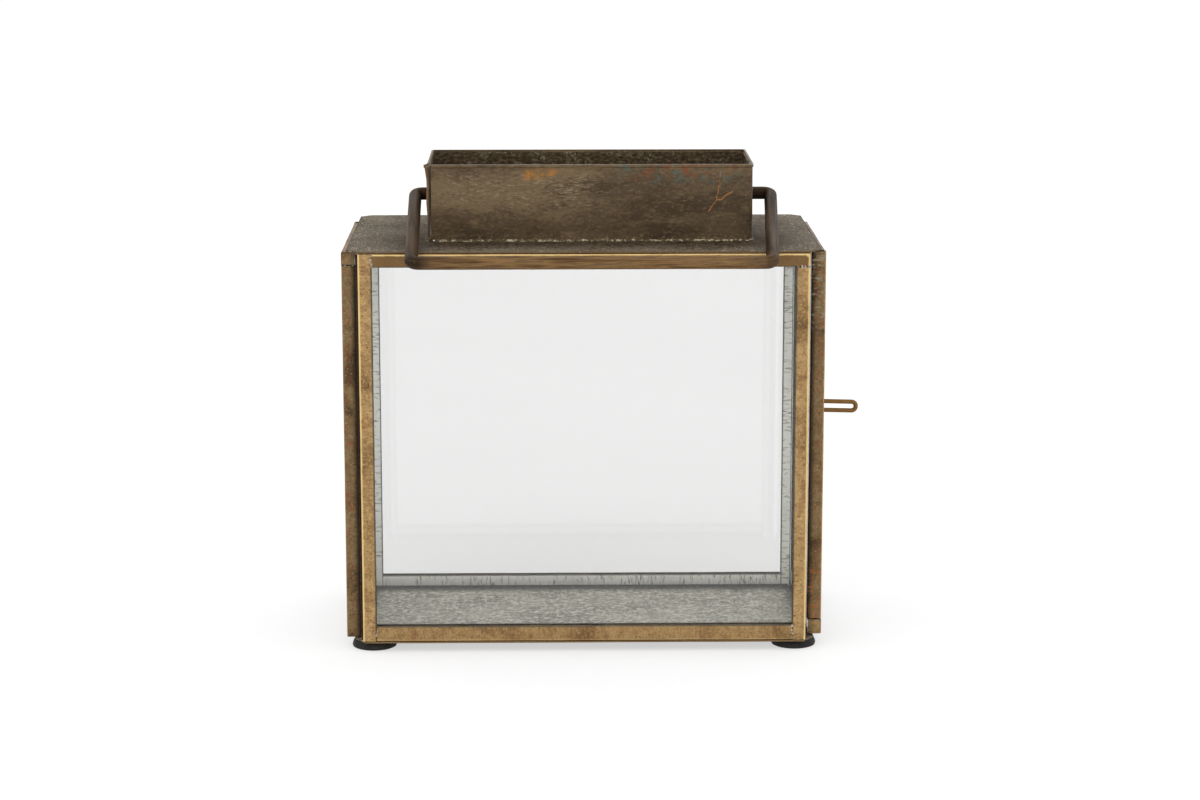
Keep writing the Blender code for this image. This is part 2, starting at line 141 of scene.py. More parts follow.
FLOOR_GLOW = 0.56  # the floor is a lit table, so shadows on it stay faint

CAMERA_FROM_FRONT = (-28.45 * MM, -1282.8 * MM, 366.9 * MM)
CAMERA_PITCH = math.radians(11.162)
CAMERA_YAW = math.radians(1.019)
CAMERA_LENS = 90.0
CAMERA_SENSOR = 36.0


# ---------------------------------------------------------------- colours and nodes


def tone(red, green, blue):
    """A colour given in display values from 0 to 255, as the linear numbers that a shader takes."""
    linear = []
    for value in (red, green, blue):
        share = value / 255
        linear.append(share / 12.92 if share <= 0.04045 else ((share + 0.055) / 1.055) ** 2.4)
    return (*linear, 1.0)


class Finish:
    """A material being made. Each method adds a node and gives back the socket that carries its result."""

    def __init__(self, name, metallic, specular=0.5):
        self.material = bpy.data.materials.new(name)
        self.material.use_nodes = True
        self.tree = self.material.node_tree
        self.shader = self.tree.nodes["Principled BSDF"]
        self.shader.inputs["Metallic"].default_value = metallic
        self.shader.inputs["Specular IOR Level"].default_value = specular
        self.place = self.add("ShaderNodeTexCoord").outputs["Object"]

    def add(self, kind, **settings):
        """A node of this kind with these settings."""
        node = self.tree.nodes.new(kind)
        for name, value in settings.items():
            setattr(node, name, value)
        return node

    def feed(self, socket, value):
        """Links a result to a socket, or sets the socket to a plain value."""
        if isinstance(value, bpy.types.NodeSocket):
            self.tree.links.new(value, socket)
        else:
            socket.default_value = value

    def stretched(self, vector, scale):
        """A vector scaled axis by axis, which draws a pattern out along the smallest."""
        node = self.add("ShaderNodeVectorMath", operation="MULTIPLY")
        self.feed(node.inputs[0], vector)
        self.feed(node.inputs[1], scale)
        return node.outputs["Vector"]

    def parts(self, vector):
        """A vector's x, y and z."""
        node = self.add("ShaderNodeSeparateXYZ")
        self.feed(node.inputs[0], vector)
        return node.outputs

    def joined(self, x, y, z):
        """The vector made of three numbers."""
        node = self.add("ShaderNodeCombineXYZ")
        for socket, value in zip(node.inputs, (x, y, z)):
            self.feed(socket, value)
        return node.outputs[0]

    def measure(self, name):
        """The outputs of a measure that the piece's points carry."""
        node = self.add("ShaderNodeAttribute", attribute_name=name)
        return node.outputs

    def grain(self, vector, scale, detail=4.0, roughness=0.6, distortion=0.0):
        """Noise around 0.5."""
        node = self.add("ShaderNodeTexNoise")
        self.feed(node.inputs["Vector"], vector)
        self.feed(node.inputs["Scale"], scale)
        self.feed(node.inputs["Detail"], detail)
        self.feed(node.inputs["Roughness"], roughness)
        self.feed(node.inputs["Distortion"], distortion)
        return node.outputs["Fac"]

    def number(self, operation, first, second=0.0, clamp=False):
        """The result of one sum."""
        node = self.add("ShaderNodeMath", operation=operation, use_clamp=clamp)
        self.feed(node.inputs[0], first)
        self.feed(node.inputs[1], second)
        return node.outputs[0]

    def fade(self, value, start, end, low=0.0, high=1.0):
        """Goes smoothly from low at start to high at end."""
        node = self.add("ShaderNodeMapRange", interpolation_type="SMOOTHSTEP")
        self.feed(node.inputs["Value"], value)
        self.feed(node.inputs["From Min"], start)
        self.feed(node.inputs["From Max"], end)
        self.feed(node.inputs["To Min"], low)
        self.feed(node.inputs["To Max"], high)
        return node.outputs["Result"]

    def times(self, first, second):
        return self.number("MULTIPLY", first, second)

    def plus(self, first, second):
        return self.number("ADD", first, second)

    def minus(self, first, second):
        return self.number("SUBTRACT", first, second)

    def tint(self, factor, below, above):
        """The colour below, going over to the one above as the factor rises."""
        node = self.add("ShaderNodeMix", data_type="RGBA")
        self.feed(node.inputs[0], factor)
        self.feed(node.inputs[6], below)
        self.feed(node.inputs[7], above)
        return node.outputs[2]

    def ramp(self, factor, *stops):
        """A colour picked by the factor from stops of position and colour."""
        node = self.add("ShaderNodeValToRGB")
        elements = node.color_ramp.elements
        while len(elements) < len(stops):
            elements.new(1.0)
        for element, (position, colour) in zip(elements, stops):
            element.position = position
            element.color = colour
        self.feed(node.inputs[0], factor)
        return node.outputs["Color"]

    def window(self, value, centre, half, soft):
        """1 within half of centre, fading to 0 over soft more."""
        distance = self.number("ABSOLUTE", self.number("SUBTRACT", value, centre))
        return self.fade(distance, half + soft, half)

    def relief(self, height, distance, strength=1.0):
        """Bump so fine that the mesh can't carry it."""
        node = self.add("ShaderNodeBump")
        self.feed(node.inputs["Strength"], strength)
        self.feed(node.inputs["Distance"], distance)
        self.feed(node.inputs["Height"], height)
        self.feed(self.shader.inputs["Normal"], node.outputs["Normal"])

    def finish(self, colour, roughness):
        """Sets the two last sockets and gives back the material."""
        self.feed(self.shader.inputs["Base Color"], colour)
        self.feed(self.shader.inputs["Roughness"], roughness)
        return self.material


def zinc_tone(made, along, across):
    """Galvanised sheet: fine pale crystals drawn across the bar over grey-green, duller near the floor."""
    streak_place = made.joined(made.times(along, 0.62), made.times(across, 0.13), 0.0)
    streak = made.grain(streak_place, 1.0, 4.0, 0.7, 0.9)
    patch = made.grain(made.place, 60.0, 3.0, 0.5)
    fine = made.grain(made.place, 900.0, 3.0, 0.6)
    colour = made.ramp(
        streak,
        (0.34, tone(128, 132, 120)),
        (0.40, tone(206, 208, 193)),
        (0.46, tone(254, 254, 240)),
        (0.54, tone(255, 255, 250)),
    )
    colour = made.tint(made.fade(patch, 0.52, 0.72, 0.0, 0.25), colour, tone(206, 209, 198))
    colour = made.tint(made.fade(fine, 0.6, 0.7, 0.0, 0.5), colour, tone(255, 255, 250))
    _, _, height = made.parts(made.place)
    colour = made.tint(made.fade(height, 45 * MM, 14 * MM, 0.0, 0.08), colour, tone(160, 156, 142))
    return colour, streak


def bar_brass(name, tones, settings):
    """Aged brass for the channel bars: worn bright on the outer folds, bare zinc on the inner side."""
    made = Finish(name, 0.72, 0.35)
    edge, along, across = made.parts(made.measure("bar")["Vector"])
    through, opening, rub = made.parts(made.measure("turn")["Vector"])
    shade = made.measure("shade")["Fac"]
    blotch = made.grain(made.place, tones["blotch_scale"], 4.0, 0.6, 0.6)
    mottle = made.grain(made.place, tones["mottle_scale"], 5.0, 0.65)
    speck = made.grain(made.place, 1300.0, 2.0, 0.5)
    ripple_place = made.joined(made.times(along, 1.3), made.times(across, 0.3), 3.0)
    ripple = made.grain(ripple_place, 1.0, 4.0, 0.65, 0.6)

    colour = made.ramp(
        blotch,
        (0.34, tones["dark"]),
        (0.46, tones["middle"]),
        (0.56, tones["light"]),
        (0.66, tones["odd"]),
    )
    colour = made.tint(made.fade(mottle, 0.54, 0.68, 0.0, tones["mottle"]), colour, tones["mottle_colour"])
    second = made.grain(made.stretched(made.place, (1.0, 1.0, 0.5)), tones["second_scale"], 5.0, 0.7, 0.8)
    colour = made.tint(made.fade(second, 0.52, 0.66, 0.0, tones["mottle"]), colour, tones["second_colour"])
    colour = made.tint(made.fade(ripple, 0.5, 0.66, 0.0, tones["ripple"]), colour, tones["light"])
    colour = made.tint(made.fade(ripple, 0.5, 0.36, 0.0, tones["ripple"]), colour, tones["dark"])
    colour = made.tint(made.fade(speck, 0.6, 0.68, 0.0, 0.55), colour, tones["bright_speck"])
    colour = made.tint(made.fade(speck, 0.4, 0.33, 0.0, 0.6), colour, tones["dark_speck"])
    slant = made.joined(
        made.times(made.plus(along, across), 0.22),
        made.times(made.minus(along, across), 2.2),
        0.0,
    )
    scratch = made.fade(made.grain(slant, 1.0, 2.0, 0.5), 0.66, 0.72, 0.0, 0.55)
    colour = made.tint(scratch, colour, tones["dark_speck"])
    # Painted shade: each bar's face goes towards the dark tone by its shade value.
    colour = made.tint(made.fade(shade, 0.0, 1.0), colour, tones["dark"])

    on_web = made.fade(across, 0.6, 0.2)
    outer_half = made.fade(through, 0.62, 0.4)
    patchy = made.grain(made.joined(made.times(along, 0.05), 0.0, 7.0), 1.0, 3.0, 0.6)
    ragged = made.plus(edge, made.times(mottle, tones["ragged"]))
    reach = tones["wear_reach"] * settings.edge_wear
    wear = made.times(made.fade(ragged, reach + 0.5, reach, 0.0, tones["wear"]), outer_half)
    wear = made.times(made.times(wear, rub), made.fade(patchy, 0.3, 0.55, 0.55, 1.0))
    colour = made.tint(wear, colour, tones["worn"])
    # Painted shade: the web darkens towards its inner fold, beside the shadowed gap next to the other panel.
    painted_fold_shade = made.times(on_web, made.fade(through, 0.55, 0.95, 0.0, 0.85))
    colour = made.tint(painted_fold_shade, colour, tone(46, 34, 23))

    zinc, streak = zinc_tone(made, along, across)
    inside = made.times(made.fade(through, 0.91, 0.98), made.fade(across, 0.3, 0.6))
    colour = made.tint(inside, colour, zinc)
    made.feed(made.shader.inputs["Metallic"], made.fade(inside, 0.0, 1.0, 0.72, 0.35))
    _, y, _ = made.parts(made.place)
    # Painted shade: near the front, inner faces close to the web, seen through the corner gaps, are darkened
    # almost to black.
    painted_gap_shade = made.times(made.fade(through, 0.91, 0.98), made.fade(across, 3.4, 2.6))
    painted_gap_shade = made.times(painted_gap_shade, made.fade(y, -24 * MM, -30 * MM))
    colour = made.tint(painted_gap_shade, colour, tone(40, 31, 22))
    lip = made.fade(opening, 0.88, 0.99, 0.0, 0.8)
    colour = made.tint(lip, colour, tone(70, 72, 64))
    roughness = made.fade(mottle, 0.35, 0.65, tones["smooth"], tones["rough"])
    height = made.plus(made.times(speck, 0.35), mottle)
    height = made.plus(height, made.times(streak, 0.4))
    made.relief(height, 0.00012)
    return made, colour, roughness


def frame_brass(settings):
    made, colour, roughness = bar_brass(
        "aged_brass_frame",
        {
            "blotch_scale": 45.0,
            "mottle_scale": 300.0,
            "second_scale": 240.0,
            "ripple": 0.4,
            "dark": tone(112, 85, 53),
            "middle": tone(152, 121, 80),
            "light": tone(178, 147, 100),
            "odd": tone(146, 111, 74),
            "mottle": 0.3,
            "mottle_colour": tone(134, 98, 62),
            "second_colour": tone(150, 126, 88),
            "bright_speck": tone(206, 172, 108),
            "dark_speck": tone(88, 64, 40),
            "worn": tone(232, 199, 136),
            "wear": 0.85,
            "wear_reach": 0.85,
            "ragged": 0.7,
            "smooth": 0.38,
            "rough": 0.54,
        },
        settings,
    )
    return made.finish(colour, roughness)


def side_brass(settings):
    made, colour, roughness = bar_brass(
        "mottled_brass_side",
        {
            "blotch_scale": 75.0,
            "mottle_scale": 500.0,
            "second_scale": 400.0,
            "ripple": 0.05,
            "dark": tone(84, 63, 42),
            "middle": tone(118, 94, 63),
            "light": tone(132, 110, 78),
            "odd": tone(112, 92, 64),
            "mottle": 0.8,
            "mottle_colour": tone(98, 102, 76),
            "second_colour": tone(130, 76, 48),
            "bright_speck": tone(170, 146, 102),
            "dark_speck": tone(56, 42, 30),
            "worn": tone(186, 148, 98),
            "wear": 0.8,
            "wear_reach": 0.7,
            "ragged": 0.9,
            "smooth": 0.44,
            "rough": 0.62,
        },
        settings,
    )
    x, _, z = made.parts(made.place)
    _, _, across = made.parts(made.measure("bar")["Vector"])
    on_web = made.fade(across, 0.6, 0.2)
    crust = made.grain(made.stretched(made.place, (0.3, 0.3, 1.0)), 700.0, 5.0, 0.7, 0.5)
    high_right = made.times(made.fade(z, 138 * MM, 152 * MM), made.fade(x, 0.0, 10 * MM))
    oxide = made.times(made.times(high_right, on_web), made.fade(crust, 0.5, 0.6, 0.0, 0.7))
    colour = made.tint(oxide, colour, tone(150, 142, 122))
    rust_band = made.times(made.window(z, 24 * MM, 8 * MM, 8 * MM), made.fade(x, 0.0, 10 * MM))
    rust = made.times(made.times(rust_band, on_web), made.fade(crust, 0.52, 0.62, 0.0, 0.7))
    colour = made.tint(rust, colour, tone(160, 96, 48))
    return made.finish(colour, roughness)


def plate_patina(name, worn_front):
    """Dull brown plate: fine grain, pale specks, residue round the collar and a worn front edge."""
    made = Finish(name, 0.2, 0.08)
    edge, collar, front = made.parts(made.measure("sheet")["Vector"])
    blotch = made.grain(made.place, 40.0, 4.0, 0.6, 0.4)
    fine = made.grain(made.stretched(made.place, (1.0, 0.6, 1.0)), 640.0, 5.0, 0.7)
    speck = made.grain(made.stretched(made.place, (1.0, 0.4, 1.0)), 1300.0, 1.5, 0.4)
    colour = made.ramp(
        blotch,
        (0.35, tone(78, 68, 56)),
        (0.5, tone(96, 86, 73)),
        (0.65, tone(112, 102, 88)),
    )
    colour = made.tint(made.fade(fine, 0.5, 0.66, 0.0, 0.7), colour, tone(128, 118, 102))
    colour = made.tint(made.fade(fine, 0.5, 0.36, 0.0, 0.7), colour, tone(60, 50, 39))
    colour = made.tint(made.fade(speck, 0.62, 0.68, 0.0, 0.8), colour, tone(176, 166, 142))
    # Painted shade: the plate darkens round the collar, most towards its front edge.
    shade = made.times(made.fade(collar, 32.0, 6.0, 0.0, 0.95), made.fade(front, 62.0, 34.0, 0.45, 1.0))
    painted_shade_tone = made.tint(made.fade(fine, 0.4, 0.62), tone(42, 33, 23), tone(92, 78, 60))
    colour = made.tint(shade, colour, painted_shade_tone)
    crust = made.times(made.fade(collar, 1.6, 0.2), made.fade(fine, 0.46, 0.56))
    colour = made.tint(crust, colour, tone(140, 116, 84))
    rim = made.fade(edge, 0.9, 0.2, 0.0, 0.5)
    colour = made.tint(rim, colour, tone(58, 46, 34))
    ragged = made.plus(front, made.times(fine, 2.4))
    wear = made.fade(ragged, 2.0, 1.2, 0.0, worn_front)
    colour = made.tint(wear, colour, tone(160, 122, 70))
    roughness = made.fade(fine, 0.35, 0.65, 0.66, 0.85)
    made.relief(made.plus(fine, made.times(speck, 0.5)), 0.00012)
    return made.finish(colour, roughness)


def line_mark(made, across, up, start, end, half_width):
    """1 on a thin line between two points of the front wall's plane, given in millimetres."""
    run = (end[0] - start[0], end[1] - start[1])
    square = run[0] ** 2 + run[1] ** 2
    from_x = made.minus(across, start[0])
    from_z = made.minus(up, start[1])
    dot = made.plus(made.times(from_x, run[0] / square), made.times(from_z, run[1] / square))
    share = made.number("ADD", dot, 0.0, clamp=True)
    off_x = made.minus(from_x, made.times(share, run[0]))
    off_z = made.minus(from_z, made.times(share, run[1]))
    distance = made.number("SQRT", made.plus(made.times(off_x, off_x), made.times(off_z, off_z)))
    return made.fade(distance, half_width * 1.7, half_width * 0.5)


def collar_patina(centre_x, front_y, back_y, foot_z):
    """Heat-coloured brass sheet: streaks, scuffs, bluish mottles by the rim and a branching scratch."""
    made = Finish("heat_patina_collar", 0.4, 0.15)
    x, y, z = made.parts(made.place)
    across = made.times(made.minus(x, centre_x), 1000.0)
    up = made.times(made.minus(z, foot_z), 1000.0)
    front = made.fade(y, front_y + 1.2 * MM, front_y + 0.6 * MM)
    streak = made.grain(made.stretched(made.place, (0.28, 0.28, 1.0)), 150.0, 6.0, 0.65, 0.7)
    wide = made.grain(made.stretched(made.place, (0.4, 0.4, 1.0)), 38.0, 3.0, 0.5, 0.4)
    fine = made.grain(made.place, 800.0, 4.0, 0.7)
    hair = made.grain(made.stretched(made.place, (0.22, 0.22, 1.0)), 1500.0, 4.0, 0.7, 0.5)
    patch = made.grain(made.place, 120.0, 5.0, 0.7, 1.0)

    colour = made.ramp(
        wide,
        (0.34, tone(76, 62, 46)),
        (0.5, tone(94, 78, 58)),
        (0.64, tone(112, 95, 71)),
    )
    colour = made.tint(made.fade(streak, 0.52, 0.68, 0.0, 0.55), colour, tone(126, 107, 78))
    colour = made.tint(made.fade(streak, 0.48, 0.34, 0.0, 0.55), colour, tone(58, 46, 34))
    weave = made.grain(made.stretched(made.place, (0.5, 0.5, 1.0)), 900.0, 4.0, 0.65)
    colour = made.tint(made.fade(weave, 0.52, 0.68, 0.0, 0.4), colour, tone(132, 113, 84))
    colour = made.tint(made.fade(weave, 0.48, 0.36, 0.0, 0.4), colour, tone(62, 49, 36))
    colour = made.tint(made.fade(fine, 0.6, 0.7, 0.0, 0.4), colour, tone(150, 130, 96))

    scuff_area = made.times(made.window(across, -30.0, 22.0, 24.0), made.window(up, 22.0, 4.0, 7.0))
    scuff = made.times(made.times(scuff_area, front), made.fade(hair, 0.52, 0.66, 0.0, 0.6))
    colour = made.tint(scuff, colour, tone(160, 146, 120))
    gold_area = made.times(made.window(across, -22.0, 4.0, 6.0), made.window(up, 29.2, 1.0, 2.4))
    gold = made.times(made.times(gold_area, front), made.fade(patch, 0.44, 0.6, 0.0, 0.9))
    colour = made.tint(gold, colour, tone(168, 112, 48))
    heat_area = made.times(made.window(across, 38.0, 20.0, 12.0), made.fade(up, 23.0, 29.5))
    blue = made.times(made.times(heat_area, front), made.fade(patch, 0.5, 0.62, 0.0, 0.7))
    colour = made.tint(blue, colour, tone(78, 98, 94))
    red = made.times(made.times(heat_area, front), made.fade(patch, 0.47, 0.37, 0.0, 0.65))
    colour = made.tint(red, colour, tone(122, 66, 44))

    wobble = made.times(made.minus(made.grain(made.place, 500.0, 2.0), 0.5), 2.2)
    bent = made.plus(across, wobble)
    marks = None
    for start, end, half_width in SCRATCH_LINES:
        mark = line_mark(made, bent, up, start, end, half_width)
        marks = mark if marks is None else made.number("MAXIMUM", marks, mark)
    scratch = made.times(made.times(marks, front), made.fade(fine, 0.3, 0.5, 0.35, 0.9))
    colour = made.tint(scratch, colour, tone(176, 112, 62))

    within = made.times(
        made.fade(y, front_y + 0.55 * MM, front_y + 0.8 * MM),
        made.fade(y, back_y - 0.55 * MM, back_y - 0.8 * MM),
    )
    half = COLLAR_WIDTH / MM / 2
    within = made.times(within, made.fade(made.number("ABSOLUTE", across), half - 0.5, half - 0.75))
    lining = made.ramp(weave, (0.36, tone(44, 35, 24)), (0.52, tone(72, 58, 40)), (0.68, tone(110, 98, 76)))
    cloudy = made.grain(made.place, 90.0, 3.0, 0.6)
    pale_grain = made.times(made.fade(cloudy, 0.5, 0.62), made.fade(fine, 0.5, 0.62, 0.0, 0.8))
    lining = made.tint(pale_grain, lining, tone(140, 134, 112))
    colour = made.tint(within, colour, lining)

    crust = made.times(made.fade(up, 3.4, 0.3), made.fade(fine, 0.52, 0.64, 0.0, 0.65))
    colour = made.tint(crust, colour, tone(158, 138, 102))
    rim = made.times(made.fade(up, 32.9, 33.5), made.fade(streak, 0.4, 0.6, 0.1, 0.5))
    colour = made.tint(rim, colour, tone(120, 98, 68))
    # Painted highlight: a thin pale blue-white glint along the inner top edge of the front wall.
    lip = made.fade(y, front_y + 2.0 * MM, front_y + MM)
    lip = made.times(made.fade(y, front_y, front_y + 0.3 * MM), lip)
    lip = made.times(made.fade(up, 33.3, 33.5), lip)
    colour = made.tint(made.times(lip, made.fade(weave, 0.38, 0.55, 0.2, 0.85)), colour, tone(176, 184, 186))
    seam_x = made.fade(across, -71.0, -73.2)
    raw = made.times(seam_x, made.fade(fine, 0.35, 0.55, 0.35, 0.9))
    raw = made.times(raw, made.fade(y, front_y + 2.5 * MM, front_y + 0.5 * MM))
    colour = made.tint(raw, colour, tone(124, 78, 46))
    roughness = made.fade(streak, 0.35, 0.65, 0.38, 0.56)
    height = made.plus(made.times(fine, 0.6), streak)
    made.relief(height, 0.00012)
    return made.finish(colour, roughness)


# The branching scratch: start and end of each stroke, across and up the collar's front, and half its width.
SCRATCH_LINES = (
    ((52.0, 12.9), (55.6, 17.9), 0.17),
    ((55.6, 17.9), (57.8, 18.0), 0.2),
    ((57.8, 18.0), (59.0, 19.4), 0.2),
    ((59.0, 19.4), (62.4, 21.5), 0.2),
    ((55.6, 18.3), (56.7, 24.0), 0.12),
    ((56.7, 24.0), (57.4, 30.5), 0.08),
)


def wire_patina(name, metallic, darkest, middle, lightest, streak_colour, bar_wear):
    """Bent wire: lengthwise streaks, darker on the arms and rubbed warm along the grip."""
    made = Finish(name, metallic, 0.05)
    along, side, top = made.parts(made.measure("wire")["Vector"])
    grip = made.measure("grip")["Fac"]
    place = made.joined(made.times(along, 0.035), made.times(side, 0.75), made.times(top, 0.75))
    streak = made.grain(place, 1.0, 5.0, 0.6, 0.35)
    long_place = made.joined(made.times(along, 0.02), made.times(side, 0.2), made.times(top, 0.2))
    wide = made.grain(long_place, 1.3, 4.0, 0.55)
    fine = made.grain(made.place, 900.0, 4.0, 0.65)
    colour = made.ramp(wide, (0.38, darkest), (0.5, middle), (0.62, lightest))
    rubbed = made.ramp(
        streak,
        (0.34, tone(72, 52, 34)),
        (0.45, tone(104, 78, 50)),
        (0.53, tone(134, 104, 66)),
        (0.6, tone(92, 74, 58)),
        (0.7, tone(166, 136, 86)),
    )
    colour = made.tint(made.times(grip, bar_wear), colour, rubbed)
    colour = made.tint(made.fade(streak, 0.54, 0.68, 0.0, 0.35), colour, streak_colour)
    colour = made.tint(made.fade(fine, 0.6, 0.72, 0.0, 0.3), colour, tone(128, 110, 86))
    roughness = made.fade(streak, 0.35, 0.65, 0.42, 0.6)
    made.relief(made.plus(fine, made.times(streak, 0.5)), 0.00008)
    return made.finish(colour, roughness)


def floor_zinc():
    """The tray's zinc: short pale brush strokes over dull grey-green."""
    made = Finish("galvanised_floor", 0.5)
    long_stroke = made.grain(made.stretched(made.place, (0.8, 0.45, 1.0)), 640.0, 6.0, 0.75, 0.3)
    short_stroke = made.grain(made.stretched(made.place, (0.45, 1.0, 1.0)), 560.0, 4.0, 0.7, 0.3)
    cloud = made.grain(made.place, 45.0, 3.0, 0.5)
    colour = made.ramp(
        cloud,
        (0.35, tone(116, 113, 99)),
        (0.5, tone(136, 133, 118)),
        (0.65, tone(152, 149, 133)),
    )
    colour = made.tint(made.fade(long_stroke, 0.5, 0.6, 0.0, 0.75), colour, tone(196, 193, 176))
    colour = made.tint(made.fade(short_stroke, 0.52, 0.62, 0.0, 0.75), colour, tone(208, 205, 188))
    colour = made.tint(made.fade(long_stroke, 0.46, 0.34, 0.0, 0.5), colour, tone(88, 87, 78))
    side_edge, _, rear_edge = made.parts(made.measure("sheet")["Vector"])
    # Painted shade: the tray darkens along its edges, next to the frames.
    colour = made.tint(made.fade(side_edge, 3.4, 0.6, 0.0, 0.7), colour, tone(84, 88, 88))
    # Painted shadow: a dark band along the rear edge, under the rear rail.
    behind = made.minus(FLOOR_LENGTH, rear_edge)
    colour = made.tint(made.fade(behind, 15.0, 4.5), colour, tone(52, 48, 39))
    roughness = made.fade(long_stroke, 0.35, 0.65, 0.58, 0.42)
    made.relief(made.plus(long_stroke, short_stroke), 0.00006)
    return made.finish(colour, roughness)


def pane_glass(settings):
    """Clear float glass with faint smears. Lamps pass through it without casting its shadow."""
    made = Finish("clear_float_glass", 0.0)
    smear = made.grain(made.stretched(made.place, (1.0, 1.0, 0.5)), 60.0, 4.0, 0.6, 0.5)
    made.shader.inputs["Transmission Weight"].default_value = 1.0
    made.shader.inputs["IOR"].default_value = 1.45
    material = made.finish((*settings.glass_tint, 1.0), made.fade(smear, 0.4, 0.75, 0.0, 0.02))
    open_air = made.add("ShaderNodeBsdfTransparent")
    open_air.inputs["Color"].default_value = (1.0, 1.0, 1.0, 1.0)
    path = made.add("ShaderNodeLightPath")
    choice = made.add("ShaderNodeMixShader")
    made.feed(choice.inputs[0], path.outputs["Is Shadow Ray"])
    made.feed(choice.inputs[1], made.shader.outputs["BSDF"])
    made.feed(choice.inputs[2], open_air.outputs["BSDF"])
    output = made.tree.nodes["Material Output"]
    made.feed(output.inputs["Surface"], choice.outputs["Shader"])
    return material


def pad_rubber():
    made = Finish("black_pad_rubber", 0.0, 0.35)
    dust = made.grain(made.place, 500.0, 5.0, 0.7)
    blotch = made.grain(made.place, 150.0, 3.0, 0.6)
    colour = made.ramp(blotch, (0.35, tone(20, 18, 15)), (0.65, tone(34, 30, 25)))
    colour = made.tint(made.fade(dust, 0.6, 0.72, 0.0, 0.35), colour, tone(92, 80, 62))
    made.relief(dust, 0.0001)
    return made.finish(colour, made.fade(dust, 0.3, 0.7, 0.6, 0.85))


def solder_finish(name, dark, middle, pale):
    made = Finish(name, 0.5, 0.3)
    lump = made.grain(made.place, 700.0, 4.0, 0.6)
    colour = made.ramp(lump, (0.4, dark), (0.52, middle), (0.62, pale))
    made.relief(lump, 0.00012)
    return made.finish(colour, made.fade(lump, 0.35, 0.65, 0.4, 0.65))


# ---------------------------------------------------------------- shaping helpers


def keep_in_box(points):
    """Brings back to the CAD box any points that a dent or a warp has moved out of it."""
    lowest, highest = CAD_BOX
    for point in points:
        for axis in range(3):
            point.co[axis] = min(max(point.co[axis], lowest[axis]), highest[axis])


def put_in_scene(bm, name, body, nodes, material, sharp=35.0):
    """Turns a bmesh into a finished piece that rides on a body and stands for its CAD nodes."""
    keep_in_box(bm.verts)
    mesh = bpy.data.meshes.new(name)
    bm.to_mesh(mesh)
    bm.free()
    mesh.shade_smooth()
    mesh.set_sharp_from_angle(angle=math.radians(sharp))
    return place_mesh(mesh, name, body, nodes, material)


def place_mesh(mesh, name, body, nodes, material):
    mesh.materials.clear()
    mesh.materials.append(material)
    piece = bpy.data.objects.new(name, mesh)
    bpy.context.scene.collection.objects.link(piece)
    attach(piece, body)
    if nodes:
        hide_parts(*nodes)
    return piece


def verts_of(result):
    """The points among what an extrusion has made."""
    return [item for item in result["geom"] if isinstance(item, bmesh.types.BMVert)]


def edges_of(result):
    """The edges among what an extrusion has made."""
    return [item for item in result["geom"] if isinstance(item, bmesh.types.BMEdge)]


def slice_evenly(bm, axis, low, high, step):
    """Cuts the whole mesh with planes square to an axis, about a step apart."""
    normal = Vector((0.0, 0.0, 0.0))
    normal[axis] = 1.0
    count = max(2, round((high - low) / step))
    for index in range(1, count):
        slice_at(bm, normal, normal * (low + (high - low) * index / count))


def slice_at(bm, normal, point, clear_outer=False):
    geom = bm.verts[:] + bm.edges[:] + bm.faces[:]
    bmesh.ops.bisect_plane(
        bm, geom=geom, plane_co=point, plane_no=normal, dist=1e-7, clear_outer=clear_outer
    )


def shake(bm, amount, scale, seed):
    """Moves each point a little by smooth noise, as hand-folded sheet is never true."""
    offset = Vector((seed * 3.7, seed * 1.3, seed * 2.1))
    for vert in bm.verts:
        vert.co += noise.noise_vector(vert.co * scale + offset) * amount


def bevel_edges(bm, edges, offset, segments=2):
    bmesh.ops.bevel(
        bm,
        geom=edges,
        offset=offset,
        offset_type="OFFSET",
        affect="EDGES",
        segments=segments,
        profile=0.5,
        material=-1,
    )


# ---------------------------------------------------------------- channel bars


